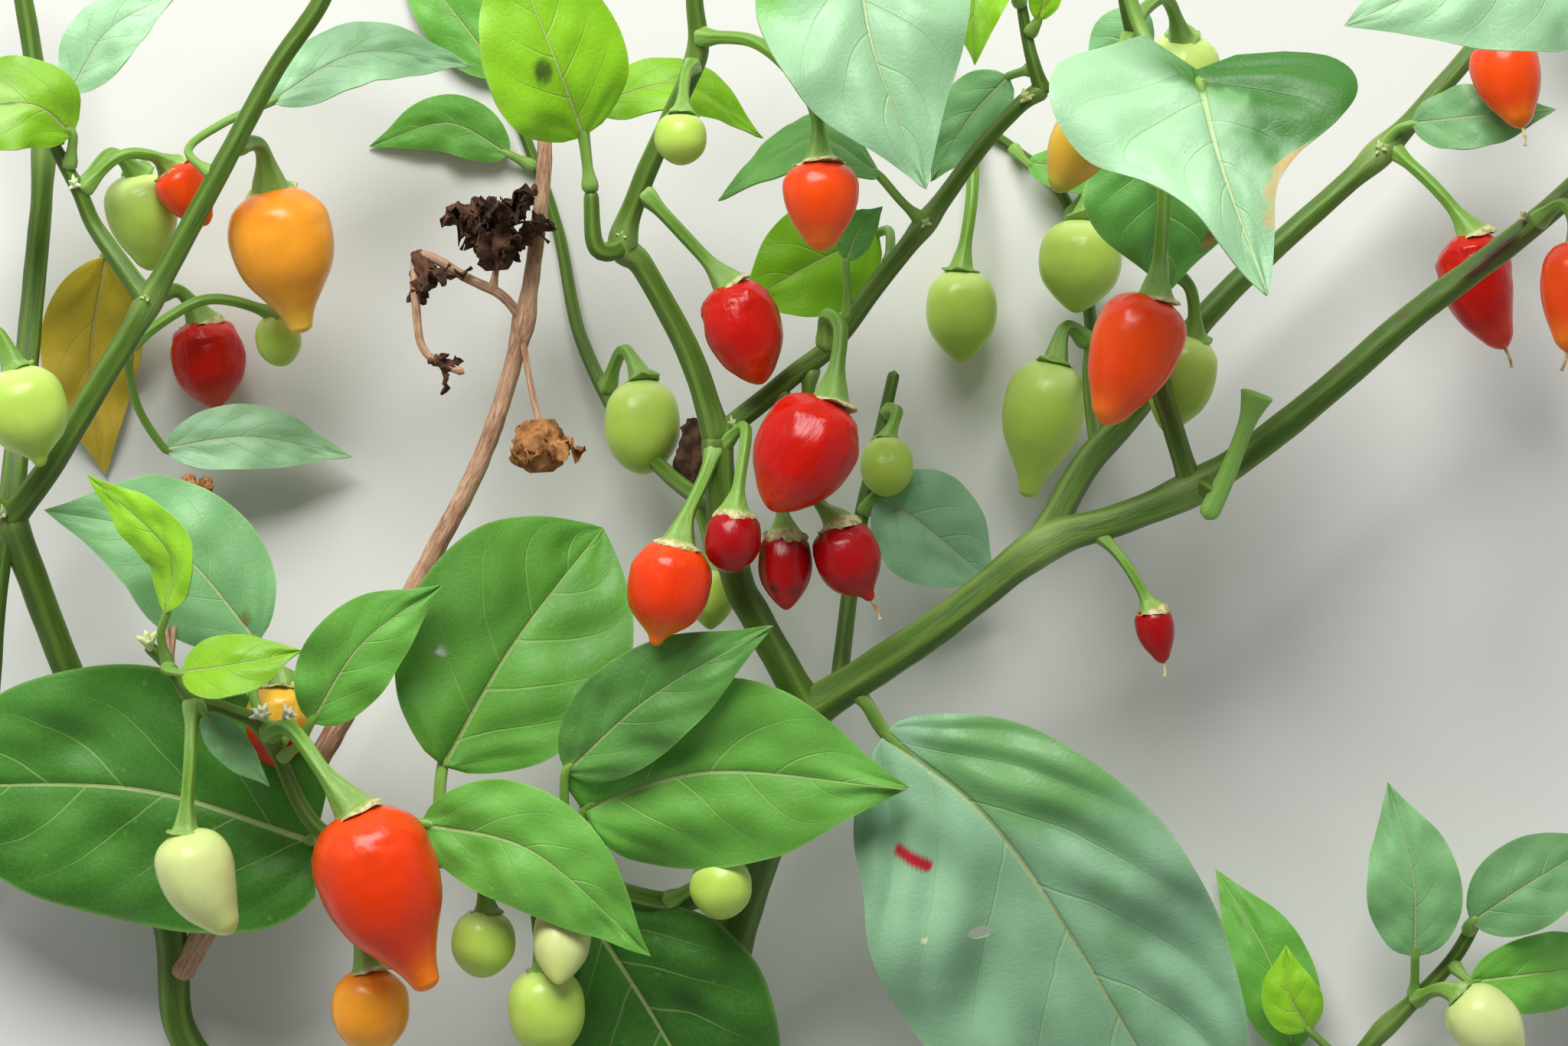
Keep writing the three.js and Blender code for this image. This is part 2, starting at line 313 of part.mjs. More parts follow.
    color: "pod_orange", stalk: [[44.8, 62, 56.5], [41.5, 57, 60]], neck: [39.6, 52, 61.5],
    tip: [34.6, 42.2, 61] },
  { name: "pod_green_far_left", node: "left_upper_twig", on: "left_upper_twig", width: 9.5,
    color: "pod_green", stalk: [[-89.8, 42, 37], [-86, 47, 33]], neck: [-82.6, 44.6, 28],
    tip: [-80.6, 32.2, 25] },
  { name: "pod_orange_far_left", node: "left_upper_twig", on: "left_upper_twig", width: 7,
    color: "pod_red", stalk: [[-89.8, 42, 37], [-85, 46.6, 37], [-81, 46.9, 35]],
    neck: [-78.4, 45.4, 32], tip: [-73.5, 38, 31] },
  { name: "pod_green_left_small", node: "left_back_twig", on: "left_back_twig", width: 6,
    color: "pod_green", stalk: [[-84, 22, 22], [-74, 28.4, 22]], neck: [-65.2, 26.6, 20],
    tip: [-63.8, 20, 19] },
  { name: "pod_red_back_left", node: "left_back_twig", on: "left_back_twig", width: 10,
    color: "pod_red", stalk: [[-80.5, 29, 13.5], [-77, 29.5, 12.5]], neck: [-74.4, 26, 11.5],
    tip: [-72.4, 14.6, 10.5] },
  { name: "pod_red_behind_stalk", node: "lower_left_twig", on: "lower_left_twig", width: 5.5,
    color: "pod_red", stalk: [[-65, -28.6, 35], [-63, -25, 32]], neck: [-62, -25.6, 31.5],
    tip: [-62.6, -31.4, 31] },
  { name: "dried_calyx", node: "dead_twig", on: "dead_twig", width: 5, color: "dead",
    stalk: [[-33.4, 24.6, 25], [-32.4, 18, 27.5]], neck: [-31.2, 11.6, 28], tip: [-31, 7, 28] },
  { name: "dried_flower", node: "dead_twig", on: "dead_side_twig", width: 6.5, color: "dead",
    stalk: [[-37.2, 29.6, 27.3]], neck: [-36.8, 33.4, 29], tip: [-37, 44, 29.5] },
  { name: "pod_green_shoot", node: "lower_right_shoot", on: "lower_right_shoot", width: 9,
    color: "pod_green", stalk: [[80, -60.5, 14.5], [83.5, -59.5, 20]], neck: [85.8, -60, 22],
    tip: [94, -68.5, 23] },
  { name: "pod_green_leader", node: "back_left_shoot", on: "back_left_shoot", width: 6.4,
    color: "pod_green", stalk: [[-11, 3.9, 32], [-10, -1, 31]], neck: [-9.2, -5.4, 30],
    tip: [-9.4, -13.6, 29] },
  { name: "pod_green_behind_leader", node: "back_left_shoot", on: "back_left_shoot", width: 10,
    color: "pod_green", stalk: [[-22.5, 17, 10.5], [-20.5, 22, 15]], neck: [-18.2, 18.4, 19],
    tip: [-18, 6.2, 19] },
  { name: "pod_yellow_shoot", node: "left_shoot", on: "left_shoot", width: 6.5, color: "pod_green",
    stalk: [[-11.4, 58.5, 49.8], [-12.6, 57, 56]], neck: [-13, 52.4, 59], tip: [-13.2, 45.6, 59] },
];

// A table place as a point in the branch's own frame
function place([x, y, z]) {
  const shrink = 1 - (z - FOCUS_HEIGHT) / EYE_TO_FOCUS;
  return new THREE.Vector3(x * shrink, y * shrink, z).sub(MIDDLE);
}

function curveThrough(stops) {
  return new THREE.CatmullRomCurve3(stops, false, "catmullrom", 0.5);
}

// A frame across the curve at a share of its length, its normal as near as it can be to the wished one
function frameAt(curve, share, wished) {
  const origin = curve.getPointAt(share);
  const along = curve.getTangentAt(share);
  const side = new THREE.Vector3().crossVectors(along, wished);
  if (side.lengthSq() < 1e-6) side.set(1, 0, 0);
  side.normalize();
  const normal = new THREE.Vector3().crossVectors(side, along).normalize();
  return { origin, side, normal };
}

// A closed body from a lathe profile of [radius, share of the length], each ring laid across a curve
function bentLathe(profile, sides, curve, wished, shape) {
  const points = profile.map(([radius, share]) => new THREE.Vector2(radius, share));
  const lathe = new THREE.LatheGeometry(points, sides);
  lathe.deleteAttribute("normal");
  lathe.deleteAttribute("uv");
  const merged = mergeVertices(lathe, MERGE);
  const position = merged.getAttribute("position");
  for (let i = 0; i < position.count; i++) {
    const share = THREE.MathUtils.clamp(position.getY(i), 0, 1);
    const { origin, side, normal } = frameAt(curve, share, wished);
    const [across, up] = shape(position.getX(i), position.getZ(i));
    origin.addScaledVector(side, across).addScaledVector(normal, up);
    position.setXYZ(i, origin.x, origin.y, origin.z);
  }
  return solidFrom(merged);
}

// A geometry as a solid that faces out
function solidFrom(geometry) {
  const corners = [];
  const index = geometry.index.array;
  for (let i = 0; i < index.length; i += 3) {
    const [a, b, c] = [index[i], index[i + 1], index[i + 2]];
    if (a !== b && b !== c && c !== a) corners.push(a, b, c);
  }
  const vertProperties = new Float32Array(geometry.getAttribute("position").array);
  const make = (list) => new wasm.Manifold(new wasm.Mesh({
    numProp: 3, vertProperties, triVerts: new Uint32Array(list),
  }));
  const solid = make(corners);
  return solid.volume() > 0 ? solid : make(corners.reverse());
}

const round = (x, z) => [x, z];
const UP = new THREE.Vector3(0, 0, 1);

// A round tube along a curve with a radius for each share of its length and flat ends
function tube(curve, rings, sides, radiusAt) {
  const profile = [[0, 0]];
  for (let ring = 0; ring <= rings; ring++) profile.push([radiusAt(ring / rings), ring / rings]);
  profile.push([0, 1]);
  return bentLathe(profile, sides, curve, UP, round);
}

// A limb tapers from its root to its tip and swells at its nodes
function limbSolid(limb, extra) {
  const curve = curveThrough(limb.stops.map(place));
  const spans = limb.stops.length - 1;
  const lengths = curve.getLengths(spans * STEPS_PER_SPAN);
  const total = lengths[lengths.length - 1];
  const swells = Object.entries(limb.swell ?? {});
  const nodes = swells.map(([stop, size]) => [lengths[stop * STEPS_PER_SPAN], size]);
  const reach = SWELL_REACH * limb.radii[0];
  const radiusAt = (share) => {
    const taper = THREE.MathUtils.lerp(limb.radii[0], limb.radii[1], share);
    const bulges = nodes.map(([at, size]) => size * Math.exp(-(((share * total - at) / reach) ** 2)));
    return bulges.reduce((sum, bulge) => sum + bulge, taper + extra);
  };
  const saved = limb.radii[0] < THIN_LIMB ? SIDES_SAVED : 0;
  return tube(curve, spans + EXTRA_STEM_RINGS, STEM_SIDES - saved, radiusAt);
}

// The point of a limb's centre line that lies nearest to a place
function rootOn(limbName, target) {
  const curve = curveThrough(LIMBS.find(({ name }) => name === limbName).stops.map(place));
  const goal = place(target);
  return curve.getPoints(200).reduce((best, point) => (
    point.distanceTo(goal) < best.distanceTo(goal) ? point : best));
}

// A stalk from the middle of its limb through its stops to an end point
function stalkStops(piece, end) {
  const [first, ...others] = piece.stalk;
  return [rootOn(piece.on, first), ...others.map(place), place(end)];
}

// Half the width of a blade at a share of its length: round near the base and drawn out at the tip
function bladeHalfWidth(share, width, widest) {
  const power = Math.log(0.5) / Math.log(widest);
  const rounded = Math.sin(Math.PI * share ** power) ** BLADE_ROUNDNESS;
  const drawnOut = 1 - TIP_DRAWN_OUT * THREE.MathUtils.smoothstep(share, TIP_START, 1);
  return 0.5 * width * rounded * drawnOut;
}

function leafSolid(leaf) {
  const curve = curveThrough([leaf.base, leaf.middle, leaf.tip].map(place));
  const stalkCurve = curveThrough([...stalkStops(leaf, leaf.base), curve.getPointAt(MIDRIB_SHARE)]);
  const petiole = tube(stalkCurve, leaf.stalk.length + 2, PETIOLE_SIDES, () => PETIOLE_RADIUS);
  const { width, widest = WIDEST_SHARE } = leaf;
  const saved = SIDES_SAVED * ((width < MEDIUM_BLADE) + (width < SMALL_BLADE));
  const rings = BLADE_RINGS - saved / 2;
  const profile = [[0, 0]];
  for (let ring = 1; ring < rings; ring++) {
    const share = (ring - 0.5) / (rings - 1);
    profile.push([bladeHalfWidth(share, width, widest), share]);
  }
  profile.push([0, 1]);
  const flatten = (x, z) => {
    const radius = Math.hypot(x, z);
    const across = radius > 0 ? z / radius : 0;
    const rise = radius > 0 ? x / radius : 0;
    const lift = radius * (BLADE_FOLD * Math.abs(across) - BLADE_CUP * across ** 2);
    return [z, rise * BLADE_THICKNESS / 2 + lift];
  };
  const face = new THREE.Vector3(...leaf.face);
  return petiole.add(bentLathe(profile, BLADE_SIDES - saved, curve, face, flatten));
}

// A pod's outline as [share of the half width, share of the length], from its shoulder to its beak
const POD_OUTLINE = [[0.72, 0.03], [0.98, 0.22], [0.95, 0.46], [0.62, 0.72], [0.2, 0.93]];

function podSolid(pod) {
  const neck = place(pod.neck);
  const tip = place(pod.tip);
  const along = new THREE.Vector3().subVectors(tip, neck);
  const sideways = new THREE.Vector3().crossVectors(along, UP).normalize();
  const belly = neck.clone().addScaledVector(along, 0.5).addScaledVector(sideways, pod.bow ?? 0);
  const half = pod.width / 2;
  const profile = [[0, 0], ...POD_OUTLINE.map(([radius, share]) => [radius * half, share]), [0, 1]];
  const saved = pod.width < SMALL_POD ? SIDES_SAVED : 0;
  const flesh = bentLathe(profile, POD_SIDES - saved, curveThrough([neck, belly, tip]), UP, round);
  const sunk = neck.clone().addScaledVector(along.clone().normalize(), CALYX_SUNK * along.length());
  const stops = stalkStops(pod, pod.neck);
  stops.push(sunk);
  const curve = curveThrough(stops);
  const total = curve.getLength();
  const radiusAt = (share) => {
    const left = (1 - share) * total;
    const flare = 1 - THREE.MathUtils.smoothstep(left, CALYX_START * pod.width, CALYX_END * pod.width);
    return PEDICEL_RADIUS + flare * (CALYX_SHARE * half - PEDICEL_RADIUS);
  };
  const pedicel = tube(curve, pod.stalk.length + 5, PEDICEL_SIDES, radiusAt);
  return flesh.add(pedicel);
}

// The largest of the bodies that a cut leaves
function largest(solid) {
  return solid.decompose().reduce((best, body) => (body.volume() > best.volume() ? body : best));
}

// A finished node: its members joined, then cut clear of every limb that belongs to another node
function clearOf(solid, limbs) {
  return limbs.reduce((body, limb) => largest(body.subtract(limb.grown)), solid);
}

function meshFrom(name, solid, material) {
  const { vertProperties, triVerts } = solid.getMesh();
  const geometry = new THREE.BufferGeometry();
  geometry.setAttribute("position", new THREE.BufferAttribute(new Float32Array(vertProperties), 3));
  geometry.setIndex(new THREE.BufferAttribute(new Uint32Array(triVerts), 1));
  geometry.computeVertexNormals();
  const mesh = new THREE.Mesh(geometry, new THREE.MeshStandardMaterial(MATERIALS[material]));
  mesh.name = name;
  return mesh;
}

const limbs = LIMBS.map((limb) => ({
  node: limb.node ?? limb.name,
  material: limb.material ?? "stem",
  solid: limbSolid(limb, 0),
  grown: limbSolid(limb, CLEARANCE),
}));

// Every node's material and members, limbs first, so that a twig is cut clear of the bough it grows from
function listNodes() {
  const pieces = [
    ...limbs,
    ...LEAVES.map((leaf) => ({ ...leaf, material: "leaf", solid: leafSolid(leaf) })),
    ...PODS.map((pod) => ({ ...pod, material: pod.color, solid: podSolid(pod) })),
  ];
  const nodes = new Map();
  pieces.forEach(({ name, node = name, material, solid }) => {
    if (!nodes.has(node)) nodes.set(node, { material, members: [] });
    nodes.get(node).members.push(solid);
  });
  return nodes;
}

const branch = new THREE.Group();
const nodes = listNodes();
const ranks = [...nodes.keys()];
nodes.forEach(({ material, members }, name) => {
  const joined = members.reduce((sum, member) => sum.add(member));
  const earlier = limbs.filter(({ node }) => ranks.indexOf(node) < ranks.indexOf(name));
  branch.add(meshFrom(name, clearOf(joined, earlier), material));
});

export default branch;
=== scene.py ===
# A cut chilli pepper branch with beak-tipped pods: fine stems, leaves and pods in place of the plain solids
import math
from bisect import bisect_right

import bmesh
import bpy
from bpy.props import FloatProperty, FloatVectorProperty, PointerProperty
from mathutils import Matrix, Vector, noise


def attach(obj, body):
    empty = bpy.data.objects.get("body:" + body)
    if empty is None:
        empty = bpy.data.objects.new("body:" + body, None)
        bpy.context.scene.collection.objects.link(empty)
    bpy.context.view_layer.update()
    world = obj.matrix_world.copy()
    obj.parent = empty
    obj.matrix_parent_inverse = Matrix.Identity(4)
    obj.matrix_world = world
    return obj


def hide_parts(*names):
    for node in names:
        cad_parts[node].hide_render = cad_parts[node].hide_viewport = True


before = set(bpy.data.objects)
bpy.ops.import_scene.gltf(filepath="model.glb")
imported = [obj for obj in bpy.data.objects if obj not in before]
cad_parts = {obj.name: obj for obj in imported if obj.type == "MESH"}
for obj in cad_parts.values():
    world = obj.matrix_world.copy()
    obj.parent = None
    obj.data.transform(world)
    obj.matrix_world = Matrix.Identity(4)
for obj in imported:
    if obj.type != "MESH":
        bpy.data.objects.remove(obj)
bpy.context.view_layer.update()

bl_info = {
    "name": "Chilli pepper branch",
    "version": (1, 0, 0),
    "blender": (4, 5, 0),
    "location": "3D View > Sidebar > Pepper branch",
    "description": "Grows the stems, leaves and beak-tipped pods of a cut chilli pepper branch",
    "category": "Add Mesh",
}

# Tables are in millimetres: x to the right, y up the branch, z up from the surface that it lies on.
# A place is where its sight line, from straight above, meets the focus plane, with its true height.
MM = 0.001
EYE_TO_FOCUS = 600
FOCUS_HEIGHT = 40
# The frame's origin as a table place: the middle of the branch's outer box, at its lowest level
MIDDLE = Vector((-0.15, -5.85, 4.67))
UP = Vector((0, 0, 1))

# A row's node is the branch node that its shape belongs to, where that isn't the row's own name.
# Limbs: stops from root to tip, radii at both ends, how far the nodes at some stops swell, and scars
# (brown and pale spots; on the petiole stub, lighter green spots that paint light over its shade).
# One has girths instead: (share of its length, radius) stops.
LIMBS = [
    dict(name="main_stem", radii=(3.4, 3.0), swell={1: 0.6, 5: 0.7}, stops=[(-13, -98, 9),
         (-14, -86, 10), (-10, -67, 13), (-6, -50, 19), (0, -33, 28), (3, -24, 33)]),
    dict(name="right_leader", radii=(2.4, 1.5), swell={2: 0.5, 4: 0.4}, stops=[(3, -24, 33),
         (19, -13.5, 38), (33, -2.8, 40), (42, 0.2, 40), (52, 4.3, 40), (60, 9.4, 40), (70, 17.4, 41),
         (80, 26.2, 41), (95, 37.7, 41), (105, 46.8, 41)], scars=[(91.3, 34.8, 42.6, 0.85, "#46281A"),
         (88.6, 32.4, 42.6, 0.7, "#56341F"), (79, 26.2, 42.6, 0.3, "#7A5A3A"),
         (71, 19.6, 42.4, 0.3, "#7A5A3A"), (64, 12.6, 42.2, 0.25, "#6B4A30"),
         (98, 41.6, 42.6, 0.5, "#B8A888")]),
    dict(name="left_leader", radii=(2.2, 1.9), swell={4: 0.15}, stops=[(3, -24, 33), (-3.5, -12.3, 37),
         (-6, -7.3, 38), (-8, 2.7, 39), (-8.5, 11, 40)]),
    dict(name="left_shoot", radii=(1.7, 1.0), swell={3: 0.5, 6: 0.3}, stops=[(-8.5, 11, 40),
         (-12, 21.7, 41), (-18, 32.7, 43), (-20.5, 35.7, 44), (-18, 43.7, 46), (-14.5, 51.7, 48),
         (-11.2, 59.7, 50), (-11.5, 66.7, 52), (-12, 75, 54)]),
    dict(name="right_shoot", radii=(1.4, 1.0), swell={4: 0.4, 7: 0.3}, stops=[(-8.5, 11, 40),
         (1, 18.7, 41), (6, 22.7, 42), (12, 30.7, 43), (18, 38.2, 44), (25, 47.7, 45), (30, 53.2, 46),
         (33, 55.2, 46)]),
    dict(name="back_bough", radii=(2.0, 1.1), swell={0: 0.4, 4: 0.6}, stops=[(33, -2.8, 40),
         (38, 6.7, 34), (44, 13.7, 30), (56, 28.7, 24), (76, 47.2, 20), (83, 54.7, 19), (90, 63, 17),
         (95, 70, 14)]),
    dict(name="left_bough_lower", radii=(2.3, 1.9), swell={7: 0.5}, stops=[(-14, -86, 10),
         (-36, -85, 7.1), (-60, -79, 7.3), (-76, -66.7, 9), (-78.5, -51.3, 13), (-85, -34.3, 17),
         (-92, -17, 24), (-98.8, 0.7, 32)]),
    dict(name="left_bough_upper", radii=(1.7, 1.1), swell={3: 0.4}, stops=[(-98.8, 0.7, 32),
         (-94, 6.7, 34), (-88, 16.7, 36), (-81, 28.2, 38), (-72, 44.7, 40), (-65, 57.7, 41),
         (-59, 66.7, 42), (-56, 75, 42)]),
    dict(name="left_rear_bough", node="left_bough_upper", radii=(1.7, 1.2), swell={3: 0.3},
         stops=[(-98.8, 0.7, 32), (-97.6, 12, 26), (-96, 26.7, 22), (-94.4, 46.7, 20), (-96, 61, 20),
         (-98.5, 74, 20)]),
    dict(name="left_side_twig", node="left_bough_lower", radii=(1.0, 0.6), stops=[(-98.8, 0.7, 32),
         (-100, -10, 29), (-101, -24, 20), (-103, -38, 12), (-104, -47, 7)]),
    dict(name="lower_left_twig", radii=(1.4, 0.8), swell={5: 0.35, 7: 0.35}, stops=[(-4.5, -46, 21),
         (-15, -48.3, 27), (-28, -44.8, 30), (-44, -42.8, 31), (-59, -39.3, 32), (-66, -26.8, 36),
         (-71, -23.8, 39), (-75.5, -22.3, 42), (-78.5, -18.3, 43), (-81, -15.8, 44)]),
    dict(name="lower_right_shoot", radii=(1.9, 0.9), swell={4: 0.4}, stops=[(-13, -78, 11),
         (15, -85, 7), (42, -83, 6.3), (66, -74, 9), (77, -64, 13), (85, -56, 16), (89, -49, 18)]),
    dict(name="dead_twig", material="dead", radii=(1.7, 0.9), swell={6: 0.5}, stops=[(-77, -57, 12),
         (-70, -46.3, 15), (-62, -34.3, 19), (-56, -24.3, 21), (-45, -4.3, 23), (-38, 9.7, 24),
         (-33.2, 25.7, 25), (-31, 40.7, 24), (-30.5, 49.7, 23), (-31, 58, 21)]),
    dict(name="dead_side_twig", node="dead_twig", material="dead", radii=(0.7, 0.5),
         stops=[(-33.2, 25.7, 25), (-36, 29, 27), (-40, 31, 28), (-46.5, 34, 29), (-46.8, 26, 30),
         (-45.5, 21.5, 30), (-41, 19.2, 30)]),
    dict(name="mid_right_twig", radii=(1.4, 0.9), swell={0: 0.5, 5: 0.4}, stops=[(52, 4.3, 40),
         (49.5, 12.7, 41), (48, 17.7, 41), (47.8, 26.7, 40), (48.2, 36.7, 40), (47.8, 46, 42),
         (46.5, 54.7, 50), (44, 64.7, 58), (43, 71, 61)], scars=[(48.2, 33, 41.2, 0.5, "#6E3A3A"),
         (48.6, 14.6, 42.4, 0.4, "#6B4A30")]),
    dict(name="petiole_stub", node="right_leader", radii=(1.35, 2.0), stops=[(54.3, 1.4, 44),
         (56.6, 6.2, 45), (58.6, 11.4, 46), (60.4, 16.3, 47)], girths=((0, 1.4), (0.3, 1.2),
         # The stub's spots are painted light: the broad one over its shaded side, the small one in its
         # flare's hollow
         (0.62, 1.05), (0.82, 1.2), (0.94, 1.75), (1, 2.1)), scars=[(57.6, 8.6, 46, 12, "#86B452"),
         (60.2, 15.8, 48, 2.6, "#A4C878")]),
    dict(name="stub_foot", node="right_leader", radii=(1.5, 1.1), stops=[(53.6, 4.8, 40.5),
         (54.6, 4.4, 43), (55.2, 4, 44.6)]),
    dict(name="fork_twig", radii=(1.2, 0.8), stops=[(7, -21.3, 34), (8, -12, 25), (9.5, -1, 19),
         (12, 10, 16), (14, 19, 14)]),
    dict(name="back_twig", radii=(1.1, 0.6), stops=[(40, 9, 32.5), (39, 18, 18), (39, 26.7, 9),
         (36, 41, 5.6), (29, 48, 5.5), (22, 52, 6.5)]),
    dict(name="back_left_shoot", radii=(1.2, 0.7), stops=[(-8, 3.5, 39), (-12, 4, 30), (-20, 12, 14),
         (-26, 24, 7.5), (-29, 38, 5.6), (-34, 52, 5.5)]),
    dict(name="left_upper_twig", radii=(1.4, 0.8), stops=[(-81, 28.2, 38), (-84.5, 33, 37),
         (-88, 38, 36), (-90, 42.5, 37), (-93, 48, 38)]),
    dict(name="left_back_twig", radii=(1.1, 0.7), stops=[(-88, 16.7, 36), (-86.5, 19, 29),
         (-83, 24, 20), (-80, 30, 13)]),
    dict(name="left_shoot_side", radii=(1.3, 0.9), stops=[(-20.5, 35.7, 44), (-22.5, 34.6, 46),
         (-24.2, 36, 47), (-24.6, 42, 48)]),
    dict(name="right_shoot_tip", radii=(1.0, 0.6), stops=[(33, 55.2, 46), (32, 58, 47), (31, 62, 47),
         (30, 68, 48)]),
    dict(name="right_leader_tip", radii=(1.3, 0.7), stops=[(105, 46.8, 41), (109, 51, 41.5),
         (112, 56, 42)]),
]

